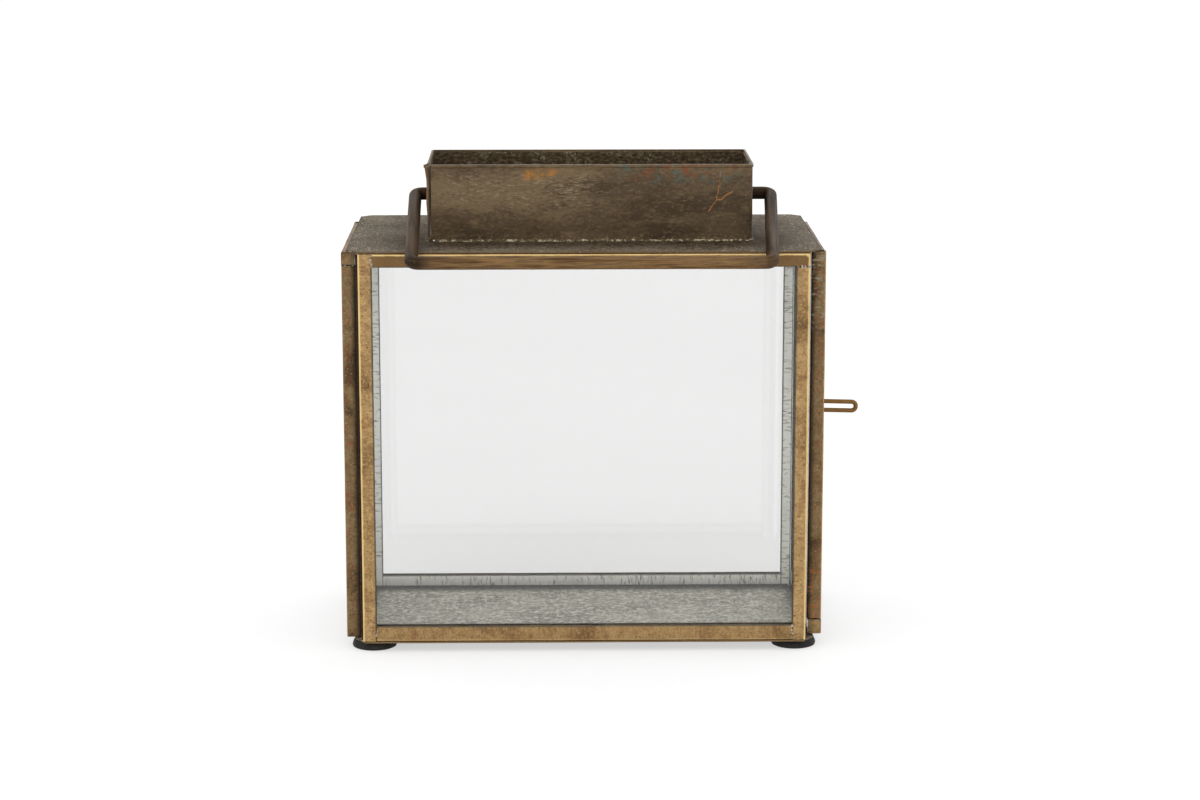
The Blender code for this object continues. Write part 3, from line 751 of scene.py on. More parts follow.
def channel_bar(low, high, run, across, opens, through, outwards, tabs, rub, shade, seed):
    """A lipped channel folded from sheet, run along one axis, with its web on the side away from the pane.

    across is the axis from the web to the open side and opens its direction; through is the panel's
    thickness axis and outwards the direction of its outer face. tabs names the closed ends.
    """
    depth = high[across] - low[across]
    thick = high[through] - low[through]
    web = low[across] if opens > 0 else high[across]
    face = low[through] if outwards < 0 else high[through]
    inwards = -outwards

    def spot(u, v, along):
        point = Vector((0.0, 0.0, 0.0))
        point[across] = web + opens * u
        point[through] = face + inwards * v
        point[run] = along
        return point

    section = (
        (depth, LIP),
        (depth, 0.0),
        (depth / 2, 0.0),
        (0.0, 0.0),
        (0.0, thick / 2),
        (0.0, thick),
        (depth / 2, thick),
        (depth, thick),
        (depth, thick - LIP),
        (depth - SHEET, thick - LIP),
        (depth - SHEET, thick - SHEET),
        (SHEET, thick - SHEET),
        (SHEET, SHEET),
        (depth - SHEET, SHEET),
        (depth - SHEET, LIP),
    )
    bm = bmesh.new()
    end = bm.faces.new([bm.verts.new(spot(u, v, low[run])) for u, v in section])
    pulled = bmesh.ops.extrude_face_region(bm, geom=[end])
    moved = verts_of(pulled)
    shift = Vector((0.0, 0.0, 0.0))
    shift[run] = high[run] - low[run]
    bmesh.ops.translate(bm, verts=moved, vec=shift)

    folds = []
    for u in (0.0, depth):
        for v in (0.0, thick):
            fold = spot(u, v, 0.0)
            for edge in bm.edges:
                middle = (edge.verts[0].co + edge.verts[1].co) / 2
                long_edge = abs(edge.verts[0].co[run] - edge.verts[1].co[run]) > SHEET
                near = abs(middle[across] - fold[across]) + abs(middle[through] - fold[through])
                if long_edge and near < MM / 100:
                    folds.append(edge)
    bevel_edges(bm, folds, FOLD_RADIUS, 3)

    for tab in tabs:
        at = low[run] if tab == "low" else high[run]
        size = Vector((0.0, 0.0, 0.0))
        size[run], size[across], size[through] = SHEET, depth, thick
        middle = (low + high) / 2
        middle[run] = at + (SHEET if tab == "low" else -SHEET) / 2
        place = Matrix.Translation(middle) @ Matrix.Diagonal((*size, 1.0))
        made = bmesh.ops.create_cube(bm, size=1.0, matrix=place)
        edges = list({edge for vert in made["verts"] for edge in vert.link_edges})
        bevel_edges(bm, edges, SHEET * 0.45, 2)

    bmesh.ops.recalc_face_normals(bm, faces=bm.faces)
    slice_evenly(bm, run, low[run], high[run], 6 * MM)
    normal = Vector((0.0, 0.0, 0.0))
    normal[run] = 1.0
    for at in (low[run] + 1.6 * MM, high[run] - 1.6 * MM):
        slice_at(bm, normal, normal * at)

    bar_layer = bm.verts.layers.float_vector.new("bar")
    turn_layer = bm.verts.layers.float_vector.new("turn")
    shade_layer = bm.verts.layers.float.new("shade")
    for vert in bm.verts:
        u = abs(vert.co[across] - web)
        v = abs(vert.co[through] - face)
        along = vert.co[run]
        gaps = [u, v, thick - v]
        gaps += [max(along - low[run], 0.0)] if "low" in tabs else []
        gaps += [max(high[run] - along, 0.0)] if "high" in tabs else []
        edge = sorted(gaps)[1]
        vert[bar_layer] = Vector((edge / MM, along / MM + seed * 37.0, u / MM))
        vert[turn_layer] = Vector((v / thick, u / depth, rub))
        vert[shade_layer] = shade
    shake(bm, 0.07 * MM, 55.0, seed)
    return bm


def build_panel(panel, brass):
    name, body, across_axis, outwards, tab_list = panel
    tabs = {}
    for bar, end in tab_list:
        tabs.setdefault(bar, []).append(end)
    through = 1 - across_axis
    for index, bar in enumerate((*STILES[across_axis], "rail_top", "rail_bottom")):
        node = f"{name}_{bar}"
        low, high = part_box(node)
        low = low.copy()
        high = high.copy()
        is_rail = bar.startswith("rail")
        run = across_axis if is_rail else 2
        across = 2 if is_rail else across_axis
        opens = {"rail_top": -1, "rail_bottom": 1}.get(bar, 1 if index == 0 else -1)
        ends = tabs.get(bar, [])
        if is_rail and "low" not in ends:
            low[run] -= BUTT_CLOSE
        if is_rail and "high" not in ends:
            high[run] += BUTT_CLOSE
        seed = index + 1 + 5 * len(name)
        rub, shade = WEAR_AND_PAINTED_SHADE.get(node, (0.4, 0.0))
        bm = channel_bar(low, high, run, across, opens, through, outwards, ends, rub, shade, seed)
        put_in_scene(bm, node + "_channel", body, [node], brass, 40.0)


class LANTERN_OT_frames(bpy.types.Operator):
    """Fold the brass channel bars of the front, left, rear and door panels"""

    bl_idname = "lantern.frames"
    bl_label = "Channel Frames"

    def execute(self, context):
        settings = context.scene.lantern
        front = frame_brass(settings)
        side = side_brass(settings)
        for panel in PANELS:
            is_front = panel[0] == "front"
            build_panel(panel, front if is_front else side)
        return {"FINISHED"}


# ---------------------------------------------------------------- glass


class LANTERN_OT_glazing(bpy.types.Operator):
    """Cut the four panes, with their arrises ground off"""

    bl_idname = "lantern.glazing"
    bl_label = "Glass Panes"

    def execute(self, context):
        glass = pane_glass(context.scene.lantern)
        for name, body, _, _, _ in PANELS:
            node = name + "_glass"
            low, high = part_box(node)
            bm = bmesh.new()
            place = Matrix.Translation((low + high) / 2) @ Matrix.Diagonal((*(high - low), 1.0))
            bmesh.ops.create_cube(bm, size=1.0, matrix=place)
            bevel_edges(bm, bm.edges[:], PANE_ARRIS, 1)
            bmesh.ops.recalc_face_normals(bm, faces=bm.faces)
            put_in_scene(bm, name + "_pane", body, [node], glass, 10.0)
        return {"FINISHED"}


# ---------------------------------------------------------------- plates


def plate_piece(node, chamfered, vent, name, material, warp, seed):
    """A thin sheet on a fine grid, with its corners clipped and the vent let in where there is one."""
    low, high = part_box(node)
    bm = bmesh.new()
    size = high - low
    middle = (low + high) / 2
    place = Matrix.Translation((middle.x, middle.y, high.z)) @ Matrix.Diagonal((size.x, size.y, 1.0, 1.0))
    bmesh.ops.create_grid(bm, x_segments=PLATE_GRID[0], y_segments=PLATE_GRID[1], size=0.5, matrix=place)
    if chamfered:
        for side in (-1, 1):
            for end, (across, along) in ((-1, PLATE_CHAMFER_FRONT), (1, PLATE_CHAMFER_BACK)):
                corner = Vector((middle.x + side * size.x / 2, middle.y + end * size.y / 2, high.z))
                normal = Vector((side * along, end * across, 0.0)).normalized()
                slice_at(bm, normal, corner - Vector((side * across, 0.0, 0.0)), clear_outer=True)
    collar_low, collar_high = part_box("chimney_collar")
    if vent:
        inner_low, inner_high = vent
        for axis, value in ((0, inner_low[0]), (0, inner_high[0]), (1, inner_low[1]), (1, inner_high[1])):
            normal = Vector((0.0, 0.0, 0.0))
            normal[axis] = 1.0
            slice_at(bm, normal, normal * value)
        gone = []
        for face in bm.faces:
            spot = face.calc_center_median()
            if inner_low[0] < spot.x < inner_high[0] and inner_low[1] < spot.y < inner_high[1]:
                gone.append(face)
        bmesh.ops.delete(bm, geom=gone, context="FACES")
    for vert in bm.verts:
        vert.co.z += noise.noise(vert.co * 18.0 + Vector((seed, 0.0, 0.0))) * warp - warp * 0.5
    painted_fold_shade = bmesh.ops.extrude_face_region(bm, geom=bm.faces[:])
    under = verts_of(painted_fold_shade)
    bmesh.ops.translate(bm, verts=under, vec=(0.0, 0.0, -(size.z - warp)))
    bmesh.ops.recalc_face_normals(bm, faces=bm.faces)
    layer = bm.verts.layers.float_vector.new("sheet")
    for vert in bm.verts:
        edge = min(vert.co.x - low.x, high.x - vert.co.x, vert.co.y - low.y, high.y - vert.co.y)
        beyond_x = max(collar_low.x - vert.co.x, vert.co.x - collar_high.x, 0.0)
        beyond_y = max(collar_low.y - vert.co.y, vert.co.y - collar_high.y, 0.0)
        vert[layer] = Vector((edge / MM, math.hypot(beyond_x, beyond_y) / MM, (vert.co.y - low.y) / MM))
    return put_in_scene(bm, name, "case", [node], material, 30.0)


class LANTERN_OT_plates(bpy.types.Operator):
    """Lay the base plate, the zinc floor and the roof plate"""

    bl_idname = "lantern.plates"
    bl_label = "Plates and Floor"

    def execute(self, context):
        collar_low, collar_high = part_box("chimney_collar")
        right = collar_high.x - COLLAR_HEM_STEP
        inner_low = (right - COLLAR_WIDTH + VENT_LEDGE, collar_low.y + COLLAR_HEM_STEP + VENT_LEDGE)
        inner_high = (right - VENT_LEDGE, collar_high.y - COLLAR_HEM_STEP - VENT_LEDGE)
        roof = plate_patina("dull_roof_patina", 0.25)
        base = plate_patina("dull_base_patina", 0.4)
        plate_piece(
            "roof_plate", True, (inner_low, inner_high), "roof_sheet", roof, 0.12 * MM, 2.0
        )
        plate_piece("base_plate", True, None, "base_sheet", base, 0.06 * MM, 5.0)
        plate_piece(
            "floor_tray", False, None, "zinc_floor", floor_zinc(), 0.06 * MM, 9.0
        )
        return {"FINISHED"}


# ---------------------------------------------------------------- collar


def collar_walls(right, front, back, foot, rim):
    """The collar's sheet as one face: four walls, rounded corners and the open seam at the front left."""
    left = right - COLLAR_WIDTH
    bm = bmesh.new()
    corners = (
        (left + COLLAR_SHEET + COLLAR_SEAM, front),
        (right, front),
        (right, back),
        (left, back),
        (left, front),
    )
    verts = [bm.verts.new((x, y, foot)) for x, y in corners]
    edges = [bm.edges.new(pair) for pair in zip(verts, verts[1:])]
    raised = bmesh.ops.extrude_edge_only(bm, edges=edges)
    top = verts_of(raised)
    bmesh.ops.translate(bm, verts=top, vec=(0.0, 0.0, rim - foot))
    upright = [
        edge
        for edge in bm.edges
        if abs(edge.verts[0].co.z - edge.verts[1].co.z) > MM and len(edge.link_faces) == 2
    ]
    bevel_edges(bm, upright, COLLAR_CORNER, 4)
    bmesh.ops.recalc_face_normals(bm, faces=bm.faces)
    bm.faces.ensure_lookup_table()
    first = bm.faces[0]
    from_middle = first.calc_center_median() - Vector(((left + right) / 2, (front + back) / 2, 0.0))
    if first.normal.dot(from_middle) < 0:
        bmesh.ops.reverse_faces(bm, faces=bm.faces)
    slice_evenly(bm, 0, left, right, 6 * MM)
    slice_evenly(bm, 1, front, back, 5 * MM)
    slice_evenly(bm, 2, foot, rim, 3.4 * MM)
    up = Vector((0.0, 0.0, 1.0))
    for height in (foot + COLLAR_NOTCH, rim - COLLAR_HEM, rim - COLLAR_HEM + COLLAR_HEM_STEP):
        slice_at(bm, up, up * height)
    return bm


class LANTERN_OT_collar(bpy.types.Operator):
    """Raise the chimney collar on the roof, with its hem, seam and bail holes"""

    bl_idname = "lantern.collar"
    bl_label = "Chimney Collar"

    def execute(self, context):
        low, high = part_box("chimney_collar")
        right = high.x - COLLAR_HEM_STEP
        left = right - COLLAR_WIDTH
        front = low.y + COLLAR_HEM_STEP
        back = high.y - COLLAR_HEM_STEP
        foot, rim = low.z, high.z
        bm = collar_walls(right, front, back, foot, rim)
        bm.normal_update()
        dents = context.scene.lantern.dents * MM
        push = {}
        for vert in bm.verts:
            flat = Vector((vert.normal.x, vert.normal.y, 0.0)).normalized()
            rise = (vert.co.z - foot) / (rim - foot)
            free = min(1.0, 4.0 * rise)
            amount = noise.noise(vert.co * 28.0) * dents * free
            if vert.co.z > rim - COLLAR_HEM + COLLAR_HEM_STEP * 0.9:
                amount = COLLAR_HEM_STEP
            push[vert] = flat * amount
            behind = (vert.co.y - front) / COLLAR_FLARE_LENGTH
            if vert.co.x < left + COLLAR_SHEET / 2 and behind < 1.0:
                wave = 0.75 + 0.25 * math.cos(rise * 4 * math.pi)
                push[vert].x -= COLLAR_FLARE * (1.0 - max(behind, 0.0)) ** 2 * rise * wave
            if vert.co.z < foot + MM / 10 and vert.co.x < left + 2.2 * MM and vert.co.y < front + MM / 10:
                push[vert].x += COLLAR_NOTCH
        for vert, shift in push.items():
            vert.co += shift
        mesh = bpy.data.meshes.new("collar_sheet")
        bm.to_mesh(mesh)
        bm.free()
        rough = bpy.data.objects.new("collar_rough", mesh)
        context.scene.collection.objects.link(rough)
        gauge = rough.modifiers.new("Gauge", "SOLIDIFY")
        gauge.thickness = COLLAR_SHEET
        gauge.offset = -1.0

        pivot = bail_pivot()
        bm = bmesh.new()
        hole_middle = ((left + right) / 2, pivot.y, pivot.z)
        bmesh.ops.create_cone(
            bm,
            cap_ends=True,
            segments=32,
            radius1=WIRE_RADIUS + 0.3 * MM,
            radius2=WIRE_RADIUS + 0.3 * MM,
            depth=COLLAR_WIDTH + 6 * MM,
            matrix=Matrix.Translation(hole_middle) @ Matrix.Rotation(math.pi / 2, 4, "Y"),
        )
        drill_mesh = bpy.data.meshes.new("drill")
        bm.to_mesh(drill_mesh)
        bm.free()
        drill = bpy.data.objects.new("drill", drill_mesh)
        context.scene.collection.objects.link(drill)
        holes = rough.modifiers.new("Holes", "BOOLEAN")
        holes.operation = "DIFFERENCE"
        holes.object = drill
        context.view_layer.update()
        graph = context.evaluated_depsgraph_get()
        made = bpy.data.meshes.new_from_object(rough.evaluated_get(graph))
        bpy.data.objects.remove(rough)
        bpy.data.objects.remove(drill)
        if len(made.polygons) < 500:
            raise RuntimeError("the collar lost its faces when its holes were drilled")
        made.name = "chimney_sheet"
        keep_in_box(made.vertices)
        made.shade_smooth()
        made.set_sharp_from_angle(angle=math.radians(32.0))
        patina = collar_patina((left + right) / 2, front, back, foot)
        place_mesh(made, "chimney_sheet", "case", ["chimney_collar"], patina)
        self.lay_bead(left, right, front, back, foot, context)
        return {"FINISHED"}

    def lay_bead(self, left, right, front, back, foot, context):
        """An uneven fillet of solder and residue in the corner between the collar and the roof."""
        bm = bmesh.new()
        reach = 0.75 * MM
        sink = 0.35 * MM
        outline = ((0.1 * MM, -sink), (-reach, -sink), (0.1 * MM, reach))
        profile = [bm.verts.new((left + 3 * MM, front + y, foot + z)) for y, z in outline]
        ring = [bm.edges.new(pair) for pair in zip(profile, profile[1:] + profile[:1])]
        eighth_turn = Matrix.Rotation(math.pi / 4, 3, "Z")
        path = ((right, front), (right, back), (left, back))
        previous = (left + 3 * MM, front)
        for corner in path:
            length = math.dist(previous, corner)
            steps = max(2, round(length / (1.6 * MM)))
            for _ in range(steps):
                grown = bmesh.ops.extrude_edge_only(bm, edges=ring)
                ring = edges_of(grown)
                verts = verts_of(grown)
                step = Vector(((corner[0] - previous[0]) / steps, (corner[1] - previous[1]) / steps, 0.0))
                bmesh.ops.translate(bm, verts=verts, vec=step)
            verts = list({vert for edge in ring for vert in edge.verts})
            if corner != path[-1]:
                bmesh.ops.rotate(bm, verts=verts, cent=(*corner, foot), matrix=eighth_turn)
                grown = bmesh.ops.extrude_edge_only(bm, edges=ring)
                ring = edges_of(grown)
                verts = verts_of(grown)
                bmesh.ops.rotate(bm, verts=verts, cent=(*corner, foot), matrix=eighth_turn)
            previous = corner
        bmesh.ops.holes_fill(bm, edges=[edge for edge in bm.edges if edge.is_boundary])
        bmesh.ops.recalc_face_normals(bm, faces=bm.faces)
        for vert in bm.verts:
            swell = 0.75 + 0.6 * noise.noise(vert.co * 260.0)
            if vert.co.z > foot:
                vert.co.z = foot + (vert.co.z - foot) * swell
            vert.co += noise.noise_vector(vert.co * 500.0) * 0.1 * MM
        residue = solder_finish("collar_residue", tone(66, 54, 40), tone(98, 84, 62), tone(178, 166, 140))
        put_in_scene(bm, "collar_solder_bead", "case", [], residue, 60.0)


# ---------------------------------------------------------------- wires


def bail_pivot():
    """The middle of the bail's two pivots, from the joint."""
    joint = next(item for item in frame["joints"] if item["name"] == "bail_swing")
    return Vector(joint["pos_m"])


def bent_wire(corners, bend, radius, sides, straight_step, grip_rows, seed):
    """Round wire through corners. Each straight is drawn out, and each bend turned in small steps."""
    bm = bmesh.new()
    wire_layer = bm.verts.layers.float_vector.new("wire")
    grip_layer = bm.verts.layers.float.new("grip")
    corners = [Vector(corner) for corner in corners]
    heading = (corners[1] - corners[0]).normalized()
    turn_in = heading.to_track_quat("Z", "Y").to_matrix().to_4x4()
    made = bmesh.ops.create_circle(
        bm, cap_ends=False, radius=radius, segments=sides, matrix=Matrix.Translation(corners[0]) @ turn_in
    )
    ring = list({edge for vert in made["verts"] for edge in vert.link_edges})
    for vert in made["verts"]:
        spot = turn_in.inverted() @ (vert.co - corners[0])
        angle = math.atan2(spot.y, spot.x)
        vert[wire_layer] = Vector((0.0, math.cos(angle) * radius / MM, math.sin(angle) * radius / MM))
    travelled = 0.0

    def grow(matrix, centre, distance, grip):
        nonlocal ring, travelled
        old = {tuple(round(c, 7) for c in vert.co): vert for edge in ring for vert in edge.verts}
        grown = bmesh.ops.extrude_edge_only(bm, edges=ring)
        ring = edges_of(grown)
        verts = verts_of(grown)
        travelled += distance
        for vert in verts:
            source = old[tuple(round(c, 7) for c in vert.co)]
            data = source[wire_layer]
            vert[wire_layer] = Vector((travelled / MM + seed * 50.0, data.y, data.z))
            vert[grip_layer] = grip
        bmesh.ops.transform(bm, verts=verts, matrix=matrix, space=Matrix.Translation(-Vector(centre)))

    here = corners[0]
    for index, corner in enumerate(corners[1:], 1):
        last = index == len(corners) - 1
        into = (corner - corners[index - 1]).normalized()
        grip = 1.0 if index in grip_rows else 0.0
        if last:
            stop = corner
        else:
            out = (corners[index + 1] - corner).normalized()
            turn = into.angle(out)
            stop = corner - into * (bend * math.tan(turn / 2))
        length = (stop - here).length
        steps = max(1, round(length / straight_step))
        for step in range(steps):
            local = grip * min(1.0, 2.5 * min(step + 1, steps - step) / steps + 0.2) if grip else 0.0
            grow(Matrix.Translation(into * length / steps), (0, 0, 0), length / steps, min(local * 2.0, 1.0))
        here = stop
        if last:
            continue
        axis = into.cross(out).normalized()
        centre = stop + axis.cross(into) * bend
        for _ in range(BEND_STEPS):
            grow(Matrix.Rotation(turn / BEND_STEPS, 4, axis), centre, bend * turn / BEND_STEPS, grip * 0.3)
        here = centre + Matrix.Rotation(turn, 3, axis) @ (stop - centre)
    bmesh.ops.holes_fill(bm, edges=[edge for edge in bm.edges if edge.is_boundary])
    bmesh.ops.recalc_face_normals(bm, faces=bm.faces)
    return bm


class LANTERN_OT_bail(bpy.types.Operator):
    """Bend the bail handle and hang it in the collar"""

    bl_idname = "lantern.bail"
    bl_label = "Bail Handle"

    def execute(self, context):
        pivot = bail_pivot()
        low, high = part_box("chimney_collar")
        right = high.x - COLLAR_HEM_STEP - COLLAR_SHEET - BAIL_TONGUE - pivot.x
        left = right - COLLAR_WIDTH + 2 * (COLLAR_SHEET + BAIL_TONGUE)
        corners = (
            (left, 0.0, 0.0),
            (-BAIL_PIVOT_WIDTH / 2, 0.0, 0.0),
            (BAIL_BAR_SHIFT - BAIL_BAR_WIDTH / 2, -BAIL_ARM, 0.0),
            (BAIL_BAR_SHIFT + BAIL_BAR_WIDTH / 2, -BAIL_ARM, 0.0),
            (BAIL_PIVOT_WIDTH / 2, 0.0, 0.0),
            (right, 0.0, 0.0),
        )
        bm = bent_wire(corners, BAIL_BEND, WIRE_RADIUS, BAIL_SIDES, 5 * MM, (3,), 1)
        place = Matrix.Translation(pivot) @ Matrix.Rotation(BAIL_REST, 4, "X")
        bmesh.ops.transform(bm, verts=bm.verts, matrix=place)
        shake(bm, 0.05 * MM, 30.0, 4)
        patina = wire_patina(
            "dark_bail_patina",
            0.25,
            tone(46, 34, 24),
            tone(58, 45, 33),
            tone(72, 57, 42),
            tone(94, 72, 50),
            0.92,
        )
        put_in_scene(bm, "bail_wire", "bail", ["bail_handle"], patina, 60.0)
        return {"FINISHED"}


class LANTERN_OT_door_fittings(bpy.types.Operator):
    """Bend the door's wire pull and stand the two hinge pins"""

    bl_idname = "lantern.door_fittings"
    bl_label = "Door Pull and Hinge Pins"

    def execute(self, context):
        low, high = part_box("door_pull")
        start = Vector((low.x, (low.y + high.y) / 2, (low.z + high.z) / 2))
        leg = PULL_HEIGHT / 2 - PULL_WIRE_RADIUS
        length = high.x - PULL_WIRE_RADIUS - start.x
        corners = ((0.0, 0.0, leg), (length, 0.0, leg), (length, 0.0, -leg), (0.0, 0.0, -leg))
        bm = bent_wire(corners, PULL_BEND, PULL_WIRE_RADIUS, PULL_SIDES, 2.5 * MM, (1, 2, 3), 2)
        start.z += math.sin(PULL_DROOP) * length / 2
        place = Matrix.Translation(start) @ Matrix.Rotation(PULL_DROOP, 4, "Y")
        bmesh.ops.transform(bm, verts=bm.verts, matrix=place)
        copper = wire_patina(
            "worn_copper_wire",
            0.6,
            tone(84, 54, 32),
            tone(112, 80, 46),
            tone(136, 100, 58),
            tone(186, 142, 84),
            0.25,
        )
        put_in_scene(bm, "door_pull_wire", "door", ["door_pull"], copper, 60.0)
        for node in ("hinge_pin_bottom", "hinge_pin_top"):
            low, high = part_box(node)
            middle = (low + high) / 2
            bm = bmesh.new()
            radius = (high.x - low.x) / 2
            bmesh.ops.create_cone(
                bm,
                cap_ends=True,
                segments=24,
                radius1=radius,
                radius2=radius,
                depth=high.z - low.z,
                matrix=Matrix.Translation(middle),
            )
            rims = [edge for edge in bm.edges if abs(edge.verts[0].co.z - edge.verts[1].co.z) < MM / 10]
            bevel_edges(bm, rims, 0.2 * MM, 2)
            bmesh.ops.recalc_face_normals(bm, faces=bm.faces)
            put_in_scene(bm, node + "_turned", "case", [node], copper, 50.0)
        return {"FINISHED"}


# ---------------------------------------------------------------- feet and solder


class LANTERN_OT_feet(bpy.types.Operator):
    """Turn the four rubber pads, hollowed underneath"""

    bl_idname = "lantern.feet"
    bl_label = "Rubber Feet"

    def execute(self, context):
        rubber = pad_rubber()
        for node in ("foot_front_left", "foot_front_right", "foot_rear_left", "foot_rear_right"):
            low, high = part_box(node)
            middle = (low + high) / 2
            wide = (high.x - low.x) / 2
            tall = high.z - low.z
            outline = (
                (0.0, 0.9 * MM),
                (wide * 0.42, 0.9 * MM),
                (wide * 0.5, 0.0),
                (wide - 0.9 * MM, 0.0),
                (wide - 0.25 * MM, 0.3 * MM),
                (wide, 1.0 * MM),
                (wide - 0.2 * MM, tall * 0.5),
                (wide - 0.75 * MM, tall - 0.7 * MM),
                (wide - 1.0 * MM, tall - 0.2 * MM),
                (wide - 1.6 * MM, tall),
                (0.0, tall),
            )
            bm = bmesh.new()
            verts = [bm.verts.new((middle.x + r, middle.y, low.z + z)) for r, z in outline]
            edges = [bm.edges.new(pair) for pair in zip(verts, verts[1:])]
            bmesh.ops.spin(
                bm,
                geom=verts + edges,
                cent=middle,
                axis=(0.0, 0.0, 1.0),
                dvec=(0.0, 0.0, 0.0),
                angle=2 * math.pi,
                steps=FOOT_SEGMENTS,
                use_merge=True,
                use_duplicate=False,
            )
            bmesh.ops.remove_doubles(bm, verts=bm.verts, dist=1e-6)
            bmesh.ops.recalc_face_normals(bm, faces=bm.faces)
            put_in_scene(bm, node + "_pad", "case", [node], rubber, 50.0)
        return {"FINISHED"}


def solder_spots():
    """Where solder shows on each body: along the seam of every joint on the panels' outer faces."""
    spots = {"case": [], "door": []}
    for name, body, across, outwards, tab_list in PANELS:
        through = 1 - across
        for rail in ("rail_top", "rail_bottom"):
            rail_low, rail_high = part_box(f"{name}_{rail}")
            face = rail_low[through] if outwards < 0 else rail_high[through]
            for stile, end in zip(STILES[across], ("low", "high")):
                stile_low, stile_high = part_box(f"{name}_{stile}")
                capped = (rail, end) in tab_list
                if capped:
                    seam = rail_low.z if rail == "rail_top" else rail_high.z
                    start, stop = (stile_low[across], seam), (stile_high[across], seam)
                else:
                    seam = stile_high[across] if end == "low" else stile_low[across]
                    start, stop = (seam, rail_low.z), (seam, rail_high.z)
                for share in (0.12, 0.4, 0.62, 0.9):
                    spot = Vector((0.0, 0.0, start[1] + (stop[1] - start[1]) * share))
                    spot[across] = start[0] + (stop[0] - start[0]) * share
                    spot[through] = face
                    spots[body].append((spot, through))
    return spots


class LANTERN_OT_solder(bpy.types.Operator):
    """Drop small flattened beads of solder on the frames' joints"""

    bl_idname = "lantern.solder"
    bl_label = "Solder Beads"

    def execute(self, context):
        solder = solder_finish("joint_solder", tone(126, 104, 78), tone(166, 150, 134), tone(206, 200, 194))
        for body, spots in solder_spots().items():
            bm = bmesh.new()
            for index, (spot, through) in enumerate(spots):
                jitter = noise.noise_vector(spot * 900.0 + Vector((index, 0.0, 0.0)))
                if jitter.x > 0.28:
                    continue
                size = Vector((0.45 + 0.35 * abs(jitter.y), 0.45 + 0.35 * abs(jitter.y), 0.75)) * MM
                size[through] = 0.14 * MM
                centre = spot + Vector((jitter.z, jitter.z, jitter.y)) * 0.4 * MM
                centre[through] = spot[through]
                place = Matrix.Translation(centre) @ Matrix.Diagonal((*size, 1.0))
                made = bmesh.ops.create_icosphere(bm, subdivisions=2, radius=1.0, matrix=place)
                for vert in made["verts"]:
                    vert.co += noise.noise_vector(vert.co * 1500.0) * 0.12 * MM
            put_in_scene(bm, body + "_solder_beads", body, [], solder, 80.0)
        self.run_corner_seam()
        return {"FINISHED"}

    def run_corner_seam(self):
        """A solder seam that closes the upright corner between the front and left panels, coloured near
        black as painted shade for the shadowed gap there.
        """
        side_low, side_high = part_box("left_side_stile_front")
        front_low, front_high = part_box("front_stile_left")
        low = Vector((side_high.x, front_high.y - SEAM_DEPTH, front_low.z + MM))
        high = Vector((front_low.x, front_high.y, front_high.z - MM))
        bm = bmesh.new()
        place = Matrix.Translation((low + high) / 2) @ Matrix.Diagonal((*(high - low), 1.0))
        bmesh.ops.create_cube(bm, size=1.0, matrix=place)
        upright = [edge for edge in bm.edges if abs(edge.verts[0].co.z - edge.verts[1].co.z) > MM]
        bevel_edges(bm, upright, 0.2 * MM, 2)
        slice_evenly(bm, 2, low.z, high.z, 2.5 * MM)
        for vert in bm.verts:
            vert.co.y += noise.noise(vert.co * 200.0) * 0.3 * MM
        bmesh.ops.recalc_face_normals(bm, faces=bm.faces)
        # Painted shade: the seam's near-black tones stand for the shadow in the corner gap.
        black = solder_finish("seam_painted_shade", tone(30, 23, 15), tone(46, 35, 24), tone(64, 50, 34))
        put_in_scene(bm, "corner_seam", "case", [], black, 60.0)


# ---------------------------------------------------------------- stage


class LANTERN_OT_stage(bpy.types.Operator):
    """Set out the pale floor, the soft lights and the camera"""

    bl_idname = "lantern.stage"
    bl_label = "Studio Floor, Light and Camera"

    def execute(self, context):
        settings = context.scene.lantern
        scene = context.scene
        bm = bmesh.new()
        bmesh.ops.create_circle(bm, cap_ends=True, radius=14.0, segments=96)
        mesh = bpy.data.meshes.new("studio_floor")
        bm.to_mesh(mesh)
        bm.free()
        pale = Finish("pale_floor", 0.0, 0.0)
        cloud = pale.grain(pale.place, 3.0, 2.0, 0.5)
        pale.shader.inputs["Emission Color"].default_value = (1.0, 1.0, 1.0, 1.0)
        pale.shader.inputs["Emission Strength"].default_value = FLOOR_GLOW
        white = pale.ramp(cloud, (0.3, (0.4, 0.4, 0.4, 1.0)), (0.7, (0.42, 0.42, 0.42, 1.0)))
        mesh.materials.append(pale.finish(white, 0.9))
        floor = bpy.data.objects.new("studio_floor", mesh)
        scene.collection.objects.link(floor)

        world = bpy.data.worlds.new("studio_air")
        world.use_nodes = True
        world.node_tree.nodes["Background"].inputs["Color"].default_value = (1.0, 1.0, 1.0, 1.0)
        world.node_tree.nodes["Background"].inputs["Strength"].default_value = settings.room_light
        scene.world = world
        for name, place, size, watts in (
            ("key_softbox", (-0.9, -1.1, 1.3), 1.1, settings.key_light),
            ("fill_softbox", (1.3, -0.9, 0.9), 1.2, settings.key_light * 0.45),
            ("back_softbox", (0.2, 1.4, 1.3), 1.2, settings.key_light * 0.5),
        ):
            lamp = bpy.data.lights.new(name, "AREA")
            lamp.shape = "DISK"
            lamp.size = size
            lamp.energy = watts
            light = bpy.data.objects.new(name, lamp)
            light.location = place
            towards = Vector((0.0, 0.0, 0.1)) - Vector(place)
            light.rotation_euler = towards.to_track_quat("-Z", "Y").to_euler()
            scene.collection.objects.link(light)

        front_low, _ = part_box("front_stile_left")
        lens = bpy.data.cameras.new("camera")
        lens.lens = CAMERA_LENS
        lens.sensor_width = CAMERA_SENSOR
        lens.clip_start = 0.05
        camera = bpy.data.objects.new("camera", lens)
        camera.location = (CAMERA_FROM_FRONT[0], front_low.y + CAMERA_FROM_FRONT[1], CAMERA_FROM_FRONT[2])
        camera.rotation_euler = (math.pi / 2 - CAMERA_PITCH, 0.0, -CAMERA_YAW)
        scene.collection.objects.link(camera)
        scene.camera = camera
        scene.view_settings.view_transform = "Standard"
        return {"FINISHED"}


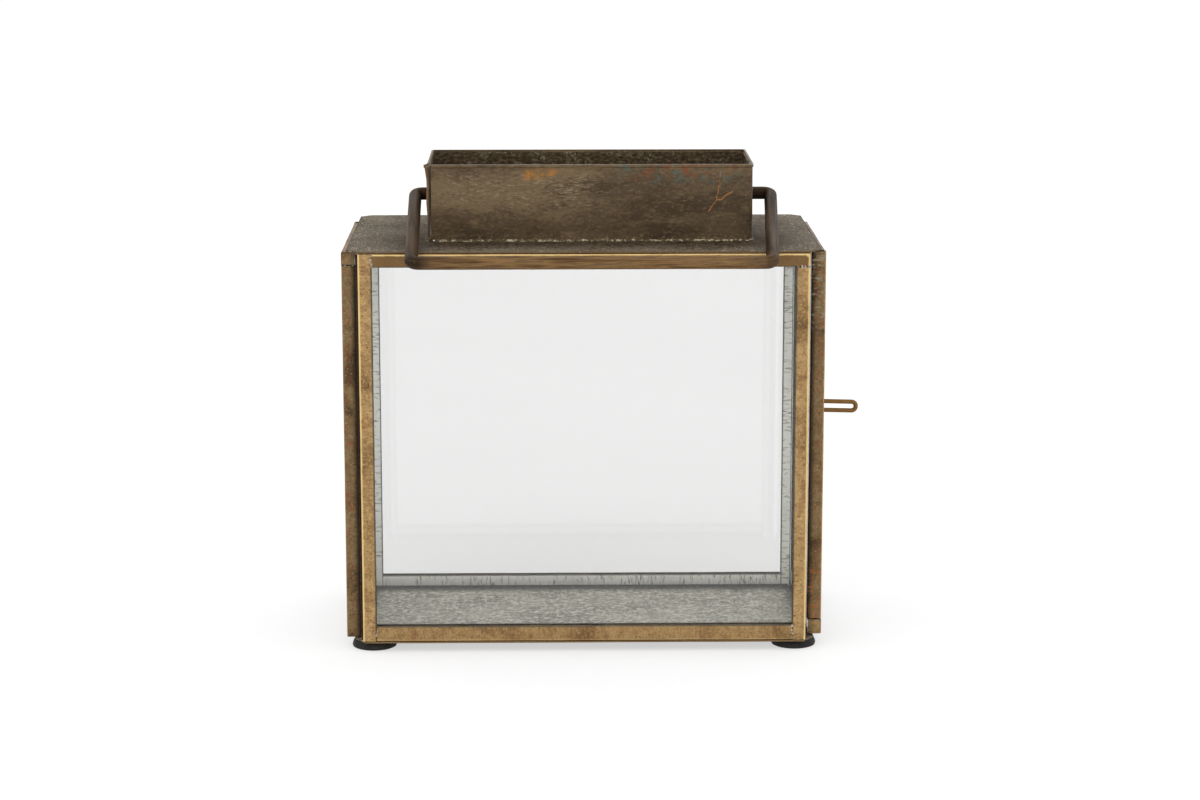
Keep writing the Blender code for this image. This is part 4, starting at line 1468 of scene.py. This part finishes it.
# ---------------------------------------------------------------- add-on


class LanternSettings(bpy.types.PropertyGroup):
    """What a user may change before the pieces are made."""

    edge_wear: FloatProperty(
        name="Edge Wear",
        description="How far the bright wear reaches in from the folds",
        default=1.0,
        min=0.0,
        max=2.0,
    )
    dents: FloatProperty(
        name="Dents",
        description="How deep the collar's shallow dents are, in millimetres",
        default=0.22,
        min=0.0,
        max=0.3,
    )
    glass_tint: FloatVectorProperty(
        name="Glass Tint",
        description="Colour of the panes",
        default=(0.882, 0.882, 0.88),
        subtype="COLOR",
        min=0.0,
        max=1.0,
    )
    room_light: FloatProperty(
        name="Room Light",
        description="Strength of the even light all round",
        default=1.14,
        min=0.0,
        max=3.0,
    )
    key_light: FloatProperty(
        name="Key Light",
        description="Power of the main soft light",
        default=4.0,
        min=0.0,
        max=200.0,
        unit="POWER",
    )


STEPS = (
    LANTERN_OT_frames,
    LANTERN_OT_glazing,
    LANTERN_OT_plates,
    LANTERN_OT_collar,
    LANTERN_OT_bail,
    LANTERN_OT_door_fittings,
    LANTERN_OT_feet,
    LANTERN_OT_solder,
    LANTERN_OT_stage,
)


class LANTERN_PT_steps(bpy.types.Panel):
    """Lists the lantern's settings and the steps that make it"""

    bl_label = "Candle Lantern"
    bl_idname = "LANTERN_PT_steps"
    bl_space_type = "VIEW_3D"
    bl_region_type = "UI"
    bl_category = "Lantern"

    def draw(self, context):
        settings = context.scene.lantern
        for name in ("edge_wear", "dents", "glass_tint", "room_light", "key_light"):
            self.layout.prop(settings, name)
        for step in STEPS:
            self.layout.operator(step.bl_idname)


CLASSES = (LanternSettings, *STEPS, LANTERN_PT_steps)


def register():
    for cls in CLASSES:
        bpy.utils.register_class(cls)
    bpy.types.Scene.lantern = PointerProperty(type=LanternSettings)


def unregister():
    del bpy.types.Scene.lantern
    for cls in reversed(CLASSES):
        bpy.utils.unregister_class(cls)


def main():
    register()
    for step in STEPS:
        group, name = step.bl_idname.split(".")
        getattr(getattr(bpy.ops, group), name)()


if __name__ == "__main__":
    main()
